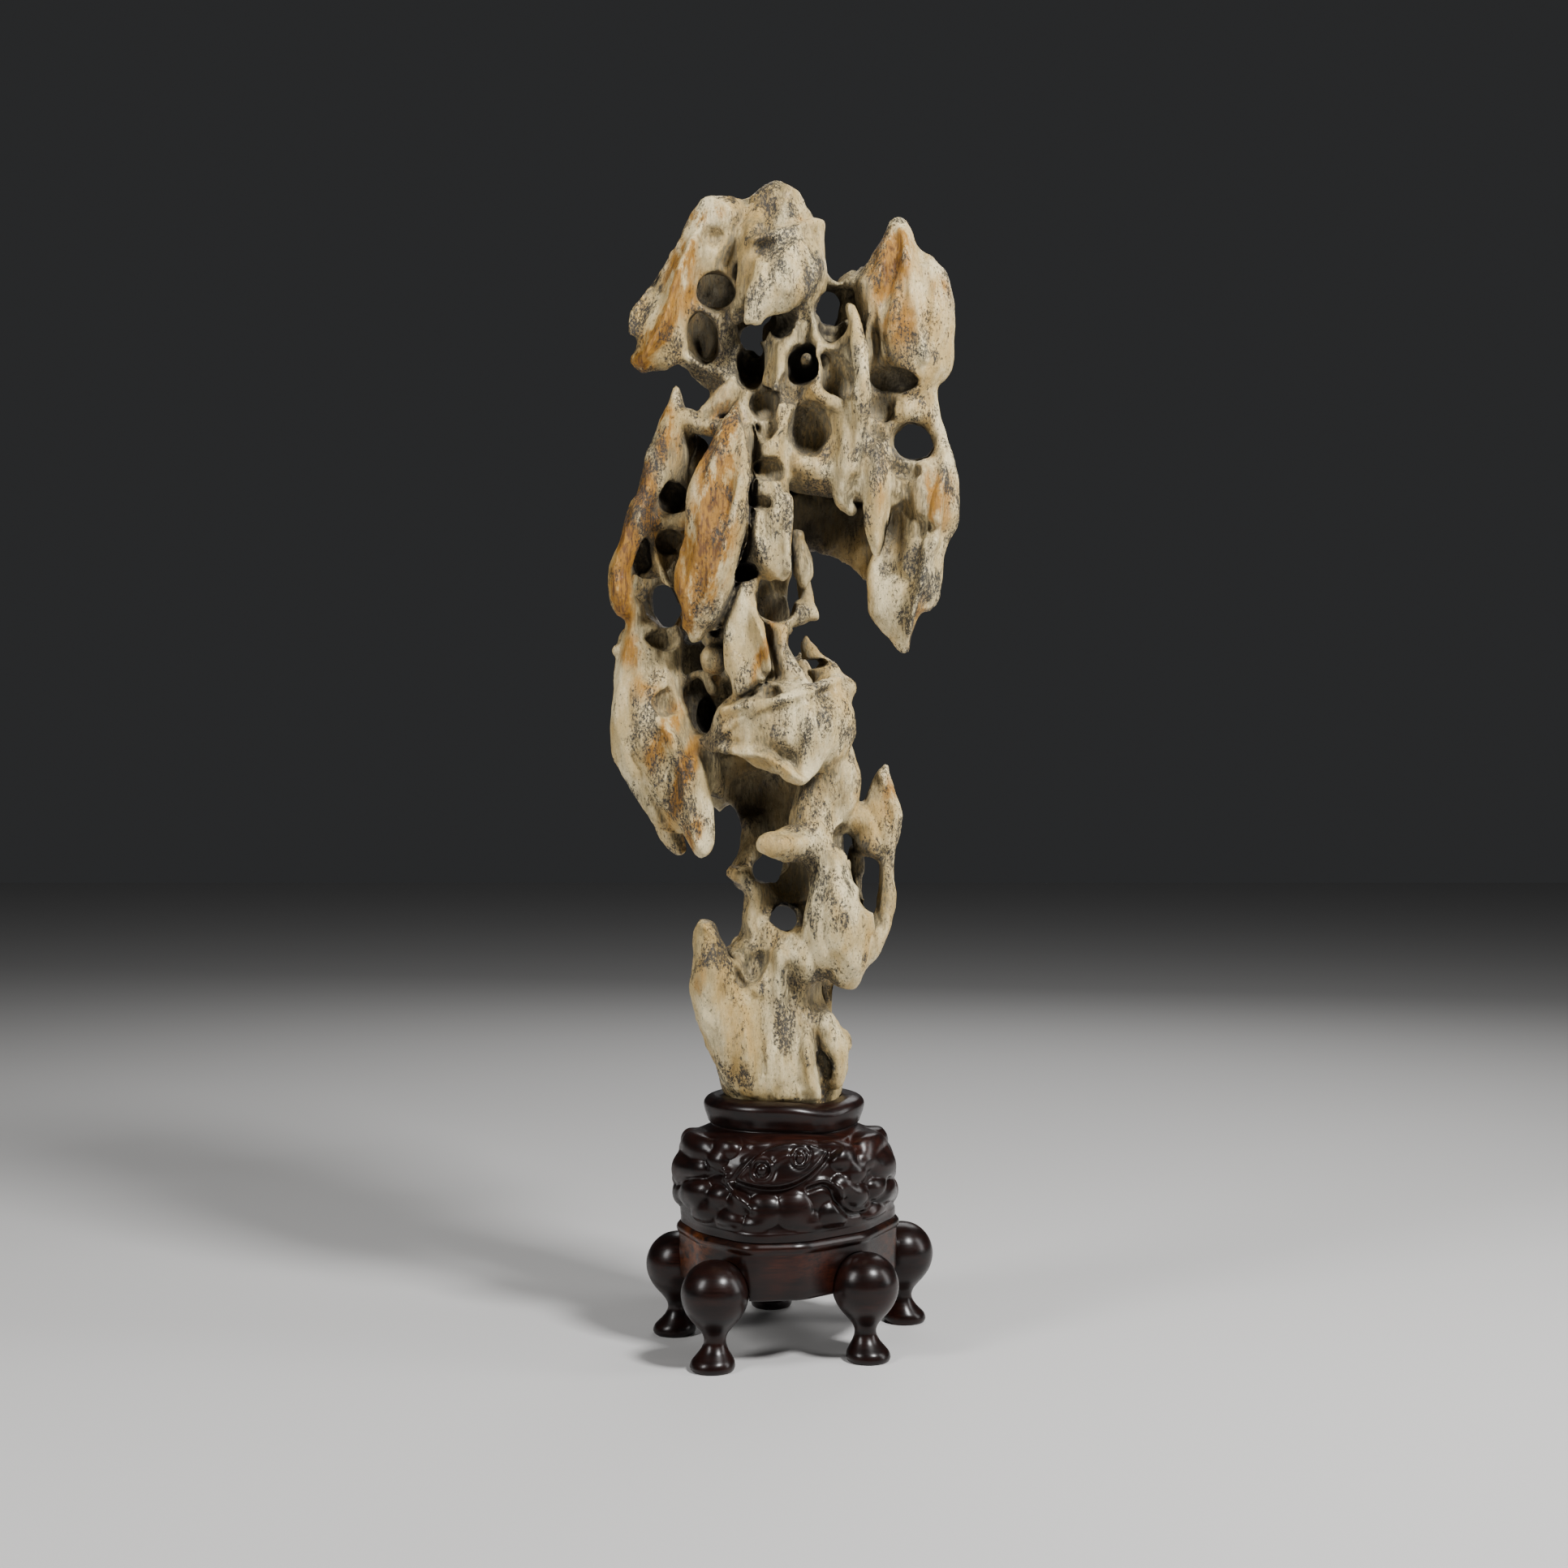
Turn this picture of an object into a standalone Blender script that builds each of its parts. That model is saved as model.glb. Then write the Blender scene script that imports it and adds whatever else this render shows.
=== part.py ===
"""A tall pierced scholar's rock standing in a carved hardwood stand on five turned legs.

The stone is one solid. Its limbs are lofted tubes with oval sections that grow into one
another, and its hollows are rounded tools cut out of them. The stand is a carved block
with a socket for the stone, an apron under it and five turned legs.
"""

import math

import bmesh
import bpy
from mathutils import Vector, noise
from mathutils.bvhtree import BVHTree

# ---------------------------------------------------------------- driving dimensions
MM = 0.001                    # all the lists below are in millimetres
GAP = 0.35                    # clearance left between two pieces that touch
STONE_VOXEL = 2.0             # grain of the solid that the limbs grow into
STONE_SHARE = 0.0208          # share of the grown stone's faces that the facets keep

GROWN_WEAR = 6                # smoothing turns on the grown limbs
CUT_WEAR = 4                  # smoothing turns after the hollows are cut

EYE_BACK = 1297.0             # the front elevation is drawn as this eye sees it:
EYE_UP = 343.0                # its distance in front of the axis, its height over the floor

AXIS_SHIFT = (-0.3, -9.8, 0)  # brings the middle of the whole object over the origin

COLLAR_TOP = 152.5            # top face of the collar that holds the stone
SOCKET_FLOOR = 131.0          # floor of the socket
GROOVE_UP = 74.0              # joint between the carved block and the apron
APRON_FOOT = 40.0             # lower edge of the apron
LEG_BULB = 20.0               # radius of a leg's round head
LEG_BULB_UP = 44.0            # height of its centre


def sight(across, up, depth):
    """A point of the front elevation, slid along the line of sight to its depth."""
    scale = (EYE_BACK + depth) / EYE_BACK
    return Vector((across * scale, depth, EYE_UP + (up - EYE_UP) * scale)) * MM


# ---------------------------------------------------------------- the limbs of the stone
# Each station is (across, up, depth, half width, half thickness). Depth is negative
# towards the viewer. The half width lies in the front elevation, across the limb.
LIMBS = {
    "foot": [(0, 128, 2, 34, 29), (0, 148, 1, 34, 29), (-1, 160, 0, 38, 33), (-2, 175, 0, 41, 35),
             (-7, 190, 1, 38, 35), (-14, 205, 2, 37, 34), (-10, 225, 3, 37, 33), (-6, 243, 5, 26, 28)],
    "stump": [(-48, 254, -22, 6, 7), (-48, 248, -23, 8.5, 9), (-46, 238, -24, 11.5, 12),
              (-42, 224, -24, 16, 14), (-39, 208, -22, 17.5, 16), (-33, 188, -18, 17, 18),
              (-26, 165, -12, 14, 19)],
    "flute_left": [(-27, 205, -27, 8, 8), (-24, 180, -27, 9, 9), (-20, 158, -25, 9, 8)],
    "flute_right": [(24, 196, -18, 8, 10), (30, 180, -20, 9, 10), (31, 160, -18, 7, 9)],
    "spur": [(12, 180, -26, 7, 8), (17, 162, -27, 5, 6), (20, 150, -27, 4, 5)],
    "post_left": [(-14, 238, 4, 15, 18), (-19, 252, 0, 9.5, 15), (-18, 265, -2, 8.5, 13),
                  (-17, 275, -4, 8, 12), (-23, 284, -6, 7.5, 10), (-31, 288, -7, 4.5, 6)],
    "rear_post": [(-24, 286, 6, 8, 9), (-21, 300, 12, 7, 10), (-20, 315, 20, 8.5, 11),
                  (-22, 330, 26, 14, 11), (-18, 350, 30, 20, 12)],
    "rear_web": [(-9, 274, 8, 6, 10), (4, 279, 17, 11, 10), (20, 286, 15, 14, 12)],
    "rear_low": [(0, 238, 18, 24, 20), (12, 258, 25, 12, 14), (20, 280, 26, 16, 15),
                 (18, 306, 26, 22, 14), (6, 332, 30, 28, 13)],
    "belly": [(38, 228, -26, 12, 12), (38, 236, -28, 17, 16), (34, 247, -28, 22, 20),
              (33, 258, -27, 22.5, 21), (31, 270, -25, 19, 20), (29, 284, -22, 14, 18),
              (29, 298, -18, 12, 16)],
    "belly_root": [(6, 236, -16, 18, 16), (20, 240, -18, 18, 18), (32, 250, -16, 18, 20)],
    "post_right": [(28, 290, -16, 13, 18), (22, 306, -14, 15, 19), (22, 322, -12, 18, 19),
                   (27, 338, -10, 20, 19), (28, 354, -10, 18, 19), (22, 374, -10, 14, 20)],
    "log": [(26, 306, -14, 12, 13), (12, 307, -25, 11, 13), (-3, 306, -34, 10, 12),
            (-9, 306, -38, 8.5, 10)],
    "knob_low": [(30, 348, -12, 9, 11), (39, 348, -10, 8, 9)],
    "knob_mid": [(22, 368, -12, 9, 11), (29, 371, -10, 4.5, 7)],
    "fin_top": [(63, 353, 0, 3, 4), (62, 345, 0, 8, 7), (61, 334, 0, 12, 9), (59, 320, -1, 14.5, 11),
                (56, 307, -2, 14.5, 11)],
    "fin_root": [(30, 326, -6, 12, 14), (44, 322, -3, 12, 11), (56, 318, -2, 14, 10)],
    "fin_outer": [(65, 310, -2, 7, 9), (63.5, 290, -3, 5.5, 8), (63.5, 272, -5, 5.2, 8),
                  (60, 257, -9, 7, 10), (52, 244, -11, 9, 12), (44, 234, -10, 9, 12)],
    "fin_inner": [(46, 302, 8, 4.5, 7), (47, 286, 11, 3.4, 7), (50, 264, 8, 4, 7), (46, 250, 2, 8, 8)],
    "plate": [(-42, 372, -22, 9, 12), (-30, 380, -30, 24, 18), (-12, 379, -35, 27.5, 20),
              (6, 378, -33, 30, 22), (20, 380, -25, 27, 22), (30, 394, -15, 16, 16),
              (38, 401, -10, 8, 9)],
    "plate_lip": [(14, 372, -36, 12, 14), (12, 358, -40, 11, 11), (11, 350, -40, 7, 8)],
    "plate_corner": [(24, 402, -14, 7, 10), (37, 408, -9, 2.5, 4)],
    "plate_bridge": [(-56, 369, -20, 7, 8), (-45, 370, -24, 6, 7), (-34, 373, -28, 9, 9)],
    "wing": [(-80, 432, -10, 21, 14), (-84, 412, -13, 22, 17), (-84, 395, -16, 23, 20),
             (-82, 378, -18, 26, 22), (-77, 360, -20, 27, 21), (-71, 342, -20, 22, 17),
             (-65, 328, -20, 20, 14)],
    "wing_front": [(-64, 348, -27, 16, 14), (-59, 332, -28, 15, 12), (-52, 316, -30, 10.5, 10),
                   (-50, 303, -31, 6, 7)],
    "wing_rear": [(-78, 345, -10, 15, 14), (-74, 328, -8, 12, 12), (-71, 314, -6, 9, 9),
                  (-65, 303, -5, 4, 5)],
    "wing_ridge": [(-76, 378, -38, 5, 5), (-68, 362, -38, 6, 5), (-61, 342, -37, 6, 5),
                   (-56, 318, -37, 5, 4)],
    "wing_flap": [(-46, 362, -16, 7, 9), (-45, 348, -14, 7, 9), (-41, 338, -12, 5, 7),
                  (-38, 335, -11, 2.5, 4)],
    "wing_boss": [(-94, 425, -14, 5, 6), (-101, 425, -14, 3.6, 4)],
    "rear_wall_low": [(-70, 376, 14, 22, 14), (-44, 368, 26, 28, 13), (-16, 356, 32, 34, 13),
                      (10, 350, 26, 32, 15), (26, 350, 12, 24, 14)],
    "rear_wall_mid": [(-78, 414, 12, 18, 12), (-52, 408, 24, 26, 12), (-24, 402, 28, 32, 14),
                      (2, 396, 22, 30, 16)],
    "left_neck": [(-94, 452, -14, 8, 12), (-92, 440, -12, 6.5, 11), (-92, 426, -12, 10, 13)],
    "left_limb": [(-66, 586, -16, 2.4, 3), (-67, 575, -16, 6, 6), (-69, 563, -17, 9.5, 9),
                  (-71, 549, -18, 13, 11), (-76, 535, -19, 13, 12), (-83, 520, -20, 9, 12),
                  (-89, 505, -20, 9, 12), (-95, 490, -20, 8, 12), (-101, 475, -20, 8.7, 12),
                  (-100.5, 462, -21, 9.8, 12), (-99, 453, -21, 9, 9)],
    "left_floor": [(-66, 556, -9, 12, 8), (-70, 535, -10, 17, 9), (-74, 512, -10, 18, 9),
                   (-80, 492, -10, 17, 9), (-85, 477, -10, 13, 8)],
    "left_rear": [(-60, 545, 14, 16, 13), (-72, 508, 20, 18, 14), (-80, 470, 22, 17, 13),
                  (-78, 436, 18, 18, 14), (-80, 400, 14, 18, 14)],
    "strut_high": [(-86, 507, -20, 5, 8), (-72, 504, -18, 4.5, 8), (-58, 507, -26, 6, 8)],
    "strut_low": [(-80, 497, -16, 3, 7), (-78, 482, -16, 3.4, 7), (-73, 468, -22, 3.5, 7),
                  (-66, 456, -30, 5, 8)],
    "blade": [(-29.5, 575, -38, 2.5, 4), (-31, 563, -41, 7.5, 9), (-34, 548, -43, 13.5, 13),
              (-38, 530, -44, 16.5, 15), (-41, 510, -44, 18, 16), (-44, 490, -43, 17.5, 16),
              (-49, 470, -41, 18, 15), (-53, 455, -38, 15, 13), (-53, 442, -36, 10, 10),
              (-52, 435, -35, 6, 7)],
    "blade_crest": [(-27, 562, -50, 3.5, 4), (-26, 545, -54, 4, 5), (-27, 522, -57, 4.5, 5),
                    (-34, 498, -57, 4.5, 5), (-43, 475, -54, 4.5, 5), (-51, 455, -47, 4, 5)],
    "blade_root": [(-24, 548, -16, 15, 18), (-24, 515, -16, 17, 18), (-26, 485, -14, 17, 18),
                   (-32, 455, -14, 15, 18), (-40, 436, -12, 12, 15)],
    "saddle_left": [(-62, 567, -18, 7, 8), (-48, 562, -24, 5, 7), (-36, 563, -32, 6, 8)],
    "toe": [(-30, 588, -22, 7, 8), (-38, 579, -24, 6.5, 7), (-47, 571, -25, 4, 5), (-51, 568, -25, 2, 3)],
    "rear_high": [(-10, 565, 26, 26, 17), (-18, 532, 32, 25, 17), (-22, 500, 32, 24, 16),
                  (-20, 470, 30, 22, 16), (-16, 440, 28, 22, 16), (-12, 412, 26, 24, 17)],
    "tongue": [(-38, 462, -34, 8, 9), (-32, 458, -36, 12, 10), (-27, 444, -38, 12, 9),
               (-22, 428, -41, 14, 9), (-23, 414, -41, 12, 8.5), (-26.5, 404, -41, 7, 6.5)],
    "stem_mid": [(-6, 447, -20, 12, 13), (-3, 434, -21, 7, 11), (-1, 421, -22, 6.5, 11),
                 (3, 407, -24, 9, 13), (6, 396, -24, 12, 14)],
    "prong": [(2, 446, -16, 8, 9), (11, 449, -14, 8.5, 8), (17, 447, -13, 5.5, 6), (20, 445, -13, 2.2, 3)],
    "prong_top": [(12, 474, -2, 5, 8), (13, 460, -6, 4.5, 7), (14, 450, -10, 6, 7)],
    "leaf": [(14, 433, -4, 2, 3), (15, 425, -4, 6, 5), (20, 415, -5, 9, 7), (28, 405, -7, 10, 10)],
    "drop": [(8, 492, -12, 5, 8), (11, 482, -16, 6, 7), (12, 472, -18, 6.8, 7), (12, 467, -18, 5, 5)],
    "pendant": [(-10, 548, -20, 14, 16), (-10, 528, -26, 14, 14), (-10, 510, -31, 14, 13),
                (-10.5, 494, -33, 14.5, 12), (-8, 481, -33, 12, 10), (-3, 473, -33, 6, 7)],
    "pendant_hook": [(-3, 512, -36, 3, 5), (-4, 522, -37, 2.6, 4), (-6, 527, -38, 1.8, 3)],
    "ledge_mid": [(-16, 556, -24, 10, 9), (-4, 560, -26, 9, 9), (4, 570, -27, 5, 7), (3, 574, -27, 3, 5)],
    "core_low": [(6, 538, -10, 12, 20), (20, 536, -12, 16, 20), (38, 534, -12, 16, 20),
                 (56, 536, -10, 14, 18)],
    "core": [(4, 600, -4, 20, 22), (8, 582, -6, 28, 24), (14, 562, -8, 32, 24), (20, 545, -9, 32, 22)],
    "core_left": [(-24, 600, -2, 24, 18), (-22, 584, -4, 24, 19), (-20, 566, -6, 24, 19),
                  (-16, 548, -6, 20, 18)],
    "core_right": [(38, 606, -6, 16, 20), (38, 588, -8, 18, 22), (40, 566, -10, 18, 22),
                   (42, 545, -11, 18, 20)],
    "pillar": [(38, 576, -24, 7, 8), (38, 558, -28, 8, 9), (38, 540, -29, 8.5, 10), (36.5, 525, -27, 8, 9),
               (37, 516, -26, 6, 7), (42, 512, -26, 4, 6)],
    "fang": [(53, 560, -22, 7, 9), (56, 543, -28, 8.5, 10), (57, 524, -31, 8, 9), (57, 506, -32, 7, 8),
             (57.5, 494, -32, 5.2, 6), (57.5, 486, -32, 2.6, 4)],
    "fang_cheek": [(56, 566, -18, 7, 9), (60, 552, -20, 6, 9), (64, 538, -22, 5, 9), (66, 520, -22, 6, 10)],
    "rib": [(40, 636, -28, 2.6, 4), (45, 628, -30, 3.6, 5), (46.5, 612, -31, 3.4, 6),
            (48.5, 595, -31, 3.2, 6), (48.5, 580, -31, 3.2, 6), (46, 560, -32, 3.2, 6),
            (43, 535, -33, 3, 5)],
    "cup_rim": [(18, 632, -20, 4, 7), (20, 618, -22, 4.5, 7), (28, 611, -23, 4.5, 7), (38, 616, -23, 4, 7),
                (43, 628, -22, 4, 7)],
    "saddle": [(20, 656, -6, 9, 14), (30, 650, -3, 4.2, 10), (38, 650, -3, 3.6, 10), (50, 654, -4, 9, 12)],
    "neck": [(0, 602, -6, 16, 20), (5, 622, -8, 13, 20), (6, 644, -9, 14, 22), (6, 664, -9, 18, 23),
             (2, 682, -7, 19, 20), (-3, 696, -5, 15.5, 16), (-4, 702, -4, 12, 12)],
    "nose": [(6, 676, -28, 17, 12), (3, 660, -36, 22, 13), (-3, 647, -40, 20, 13), (-13, 637, -43, 13, 11),
             (-20, 630, -44, 6.5, 7)],
    "nose_rim": [(22, 686, -18, 5, 7), (21, 670, -22, 5, 8), (20, 652, -22, 5.5, 9), (14, 636, -22, 6, 9)],
    "brow": [(-17, 678, -34, 4, 5), (-4, 681, -38, 4.5, 5), (10, 686, -33, 4.5, 6), (22, 688, -22, 4.5, 6)],
    "shoulder": [(-4, 692, -4, 18, 16), (-20, 688, -6, 15, 14), (-34, 692, -9, 15, 13),
                 (-45, 686, -12, 17, 13), (-55, 672, -15, 13, 12)],
    "wing_high": [(-50, 680, -14, 14, 12), (-58, 667, -16, 12.5, 12), (-65, 654, -18, 12.5, 12),
                  (-72, 640, -20, 16, 12), (-77, 625, -21, 19.5, 13), (-78, 612, -21, 18, 12),
                  (-86, 604, -21, 9, 8)],
    "wing_high_ridge": [(-57, 676, -26, 4, 4), (-66, 655, -30, 4.5, 4), (-71, 635, -34, 4.5, 4),
                        (-82, 612, -33, 5, 4), (-88, 604, -29, 4, 4)],
    "sill_left": [(-64, 606, -16, 6, 9), (-50, 600, -12, 7, 12), (-40, 596, -10, 9, 14)],
    "bar_left": [(-58, 634, -18, 5, 9), (-46, 634, -14, 4.5, 8), (-32, 637, -8, 6, 9)],
    "inner_post": [(-30, 652, -6, 7, 12), (-34, 634, -6, 5.5, 11), (-36, 618, -6, 4.3, 10),
                   (-33, 602, -6, 7, 12)],
    "rear_crown": [(-6, 690, 12, 16, 15), (-22, 674, 20, 22, 13), (-36, 652, 25, 24, 12),
                   (-44, 624, 26, 22, 12), (-36, 600, 22, 22, 14)],
    "rear_neck": [(6, 676, 16, 18, 15), (9, 642, 22, 13, 13), (10, 612, 24, 22, 15), (12, 585, 28, 32, 18),
                  (12, 556, 30, 30, 18)],
    "horn": [(69.5, 687, -8, 4.5, 6), (69.5, 678, -9, 10.5, 10), (70, 668, -10, 17, 13),
             (71, 656, -11, 25.5, 16), (78, 640, -12, 28, 18), (78.5, 620, -12, 28, 19),
             (77, 604, -11, 26.5, 18), (74, 592, -9, 22, 15)],
    "horn_cheek": [(88, 662, -8, 7, 10), (96, 648, -9, 6, 10), (99, 630, -12, 7, 12)],
    "horn_inner": [(52, 650, -12, 9, 12), (56, 630, -12, 9, 14), (56, 608, -10, 9, 14)],
    "rear_horn": [(68, 655, 10, 20, 14), (76, 628, 16, 25, 16), (68, 600, 14, 22, 15), (48, 578, 14, 22, 16)],
    "shelf_right": [(48, 574, -10, 10, 14), (64, 571, -8, 11, 13), (80, 573, -7, 11, 12),
                    (90, 570, -7, 6, 9)],
    "ring_right": [(89, 586, -8, 7, 10), (91, 570, -8, 6, 9), (96, 556, -8, 5, 9), (98, 543, -10, 7.5, 11),
                   (96, 532, -11, 12, 13)],
    "ring_left": [(64, 566, -8, 6, 10), (62.5, 553, -9, 4.8, 10), (66, 540, -11, 8, 12)],
    "hip": [(70, 534, -10, 10, 13), (84, 530, -11, 13, 14), (96, 526, -11, 14, 14)],
    "right_low": [(88, 528, -10, 22, 16), (88, 512, -11, 22.5, 17), (83, 497, -11, 19, 17),
                  (77, 480, -11, 24, 16), (73.5, 463, -11, 23, 14), (70, 449, -11, 17, 12),
                  (72, 436, -11, 10, 9), (74.5, 427, -11, 4, 5)],
    "rear_sweep": [(82, 492, 0, 28, 15), (64, 494, 8, 30, 12), (47, 498, 16, 26, 11),
                   (31, 504, 23, 20, 11), (14, 508, 27, 18, 12), (-2, 506, 28, 18, 13)],
    "rear_hip": [(86, 522, 8, 22, 14), (64, 532, 14, 20, 15), (40, 542, 20, 20, 16), (20, 547, 24, 26, 16)],
    "sheet_high": [(-40, 692, -8, 17, 13), (-41, 672, -11, 18, 12), (-43, 650, -12, 18, 10),
                   (-46, 628, -12, 18, 10), (-46, 608, -11, 18, 11), (-40, 598, -9, 14, 12)],
    "tongue_top": [(-44, 446, -34, 8, 8), (-34, 456, -36, 10, 9), (-22, 466, -32, 8, 9)],
    "plate_cheek": [(-22, 398, -32, 9, 12), (-34, 384, -34, 8, 10), (-38, 372, -30, 6, 9)],
    "fang_web": [(46, 560, -20, 9, 12), (47, 540, -22, 9, 12), (48, 524, -22, 8, 11)],
    "rear_blade": [(26, 612, 38, 3, 4), (22, 595, 43, 9, 8), (14, 570, 46, 14, 10), (4, 545, 47, 16, 11),
                   (-6, 520, 46, 15, 10), (-14, 495, 43, 12, 9), (-18, 478, 40, 6, 6)],
    "rear_fin": [(-62, 560, 18, 3, 4), (-66, 540, 24, 9, 9), (-74, 512, 29, 13, 10), (-82, 485, 30, 12, 10),
                 (-85, 462, 27, 7, 8)],
    "rear_wing": [(-74, 432, 20, 13, 10), (-78, 408, 27, 18, 11), (-74, 382, 30, 19, 11),
                  (-64, 356, 30, 14, 10), (-52, 335, 27, 7, 7)],
    "rear_shelf": [(-34, 396, 36, 8, 9), (-10, 386, 43, 16, 11), (14, 377, 40, 14, 11), (32, 372, 26, 9, 9)],
    "rear_belly": [(28, 332, 30, 8, 8), (23, 313, 37, 15, 11), (14, 292, 39, 17, 12), (6, 270, 37, 13, 11),
                   (2, 252, 33, 8, 9)],
    "rear_heel": [(20, 232, 26, 12, 10), (16, 208, 30, 15, 10), (11, 182, 30, 14, 10), (7, 160, 26, 10, 8)],
    "rear_heel_left": [(-28, 244, 22, 7, 8), (-30, 222, 27, 12, 10), (-26, 196, 30, 12, 10),
                       (-20, 170, 27, 10, 9)],
    "rear_horn_blade": [(70, 674, 10, 4, 5), (74, 656, 20, 10, 9), (80, 632, 28, 13, 10),
                        (81, 608, 26, 10, 9), (75, 590, 20, 5, 6)],
    "rear_lobe": [(94, 545, 8, 6, 7), (89, 525, 18, 12, 10), (81, 500, 23, 14, 11), (71, 478, 20, 11, 9),
                  (65, 462, 12, 5, 6)],
    "rear_crown_blade": [(0, 701, 16, 6, 7), (-8, 682, 27, 11, 9), (-19, 661, 34, 12, 9),
                         (-29, 641, 37, 10, 8), (-36, 624, 35, 5, 6)],
    "crown_knob": [(-19, 700, -4, 6, 9), (-9, 703, -5, 10, 13), (2, 702, -5, 10, 13), (6, 699, -4, 8, 10)],
    "cup_wall": [(16, 622, -4, 10, 14), (28, 614, -4, 12, 14), (42, 620, -6, 10, 14)],
    "cup_side": [(38, 652, 6, 5, 10), (37.5, 638, 8, 5, 10), (40, 622, 6, 7, 12)],
    "ledge_right": [(26, 184, -2, 9, 22), (35, 184, -3, 6.5, 17), (38, 183, -3, 4.5, 12)],
}

# ---------------------------------------------------------------- the hollows of the stone
# A pit sinks into the first face that its line of sight meets:
# (across, up, half width, half height, how deep it goes, tilt in degrees).
PITS_FRONT = [
    (-40, 647, 10, 10, 30, 0), (-49, 617, 9.5, 14, 30, 0), (-18, 600, 10, 14, 24, -10),
    (-2, 624, 8, 7, 12, 0), (-43, 680, 11, 10, 3, 0), (12, 600, 9.5, 11, 17, 0),
    (34, 592, 10, 14, 12, 0), (4.5, 588, 7.5, 10, 9, 0), (16, 563, 12, 17, 11, 0),
    (68, 592, 15, 8, 12, -8), (60, 576, 9, 11, 7, 0), (29, 624, 9, 10, 12, 0),
    (-12, 575, 9, 9, 8, 0), (-12, 565, 8, 8, 6, 0), (57, 563, 7, 9, 5, 0),
    (-69, 520, 8.5, 10, 12, 10), (-55, 538, 4, 14, 12, -12), (-70, 492, 9.5, 8, 10, 0),
    (-88, 483, 6, 12, 9, -12), (-9, 537, 12, 8, 14, 0), (-13, 516, 7, 4.5, 6, -20),
    (-22, 475, 9, 8, 14, 20), (-5, 455, 12, 13, 22, 0), (-72, 432, 12, 7.5, 9, 0),
    (-72, 393, 9, 10, 7, 0), (16, 417, 11, 3.6, 7, 12), (-8, 400, 6, 8, 6, 0),
    (36, 307, 8, 12, 9, 0), (52, 339, 7, 5, 4, -35), (5, 283, 14, 14, 14, 0),
    (-20, 230, 9, 18, 7, -28), (22, 160, 5, 12, 6, 20), (75, 537, 10, 7, 7, 0),
    (93, 645, 5, 6, 2.2, 0), (88, 497, 12, 4, 3, 20), (30, 503, 18, 12, 10, 0),
    (-47, 381, 8, 11, 12, 0), (-52, 405, 6, 14, 10, -14),
]

# A bore runs right through along its line of sight: (across, up, half width, half height, tilt).
BORES = [
    (27, 636, 7.5, 10.5, 0), (-21.5, 618, 7, 7, 0), (80, 553.5, 12.5, 11.5, -18),
    (-73, 452, 9.5, 14.5, 14), (-14, 291, 6.5, 8.5, 0), (-0.5, 260, 9.5, 9, 0),
    (52, 277, 5, 14, 0), (9.5, 428, 5, 8.5, 18), (-33, 318, 6.5, 14, 0),
]

BORE_DEPTHS = range(-60, 70, 8)
BORE_REACH = 12.0             # half length of each ball in the row that makes a bore
REAR_START = 200.0            # pits of the back are sunk from this far behind
# Hollows of the back: (across, up, half width, half height, depth, tilt), seen from behind.
PITS_REAR = [
    (-2, 664, 9, 17, 14, 12), (-46, 640, 12, 17, 16, 10), (-40, 668, 10, 8, 8, 0), (-22, 616, 9, 10, 12, 0),
    (8, 634, 8, 14, 12, 0), (40, 604, 11, 14, 14, 0), (-14, 588, 12, 9, 12, 0), (44, 574, 11, 8, 10, 0),
    (62, 640, 10, 14, 12, 0), (94, 640, 7, 13, 8, 0), (62, 606, 8, 9, 9, 0), (96, 606, 6, 9, 7, 0),
    (-30, 560, 10, 13, 14, 0), (-34, 526, 9, 14, 14, 0), (34, 542, 12, 8, 12, 0), (58, 528, 10, 8, 10, -20),
    (-66, 500, 8, 10, 10, 10), (-92, 500, 6, 13, 8, 10), (-58, 530, 7, 10, 10, 0), (100, 512, 7, 14, 8, 0),
    (64, 500, 9, 10, 10, 20), (82, 470, 8, 12, 8, 0), (40, 498, 14, 9, 10, -20), (10, 500, 8, 10, 10, 0),
    (-36, 486, 9, 12, 12, -10), (-6, 452, 10, 12, 12, 0), (-32, 444, 9, 12, 12, 10), (-52, 424, 9, 9, 10, 0),
    (-12, 420, 12, 9, 12, 0), (12, 404, 10, 9, 10, 0), (-92, 420, 7, 12, 9, 0), (-92, 384, 7, 15, 8, 0),
    (-52, 398, 9, 11, 12, 0), (-44, 366, 11, 10, 12, 0), (-20, 360, 11, 9, 12, 0), (8, 354, 12, 9, 12, 0),
    (-6, 326, 12, 14, 14, -15), (34, 312, 7, 12, 9, 0), (-8, 228, 10, 16, 10, 8),
    (28, 186, 8, 16, 8, -6), (-4, 186, 8, 16, 8, 0), (36, 348, 9, 11, 9, 0),
]


# ---------------------------------------------------------------- small tools
def clear_scene():
    for thing in list(bpy.data.objects):
        bpy.data.objects.remove(thing, do_unlink=True)


def make_material(name, colour, roughness):
    material = bpy.data.materials.new(name)
    material.use_nodes = True
    shader = material.node_tree.nodes["Principled BSDF"]
    shader.inputs["Base Color"].default_value = (*colour, 1.0)
    shader.inputs["Roughness"].default_value = roughness
    material.diffuse_color = (*colour, 1.0)
    return material


def add_object(name, mesh, material=None):
    thing = bpy.data.objects.new(name, mesh)
    bpy.context.scene.collection.objects.link(thing)
    if material:
        mesh.materials.append(material)
    return thing


def bmesh_to_mesh(bm, name):
    bmesh.ops.recalc_face_normals(bm, faces=bm.faces)
    mesh = bpy.data.meshes.new(name)
    bm.to_mesh(mesh)
    bm.free()
    return mesh


def evaluated_mesh(thing):
    """The mesh that an object's modifiers make, as a mesh of its own."""
    graph = bpy.context.evaluated_depsgraph_get()
    return bpy.data.meshes.new_from_object(thing.evaluated_get(graph))


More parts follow.
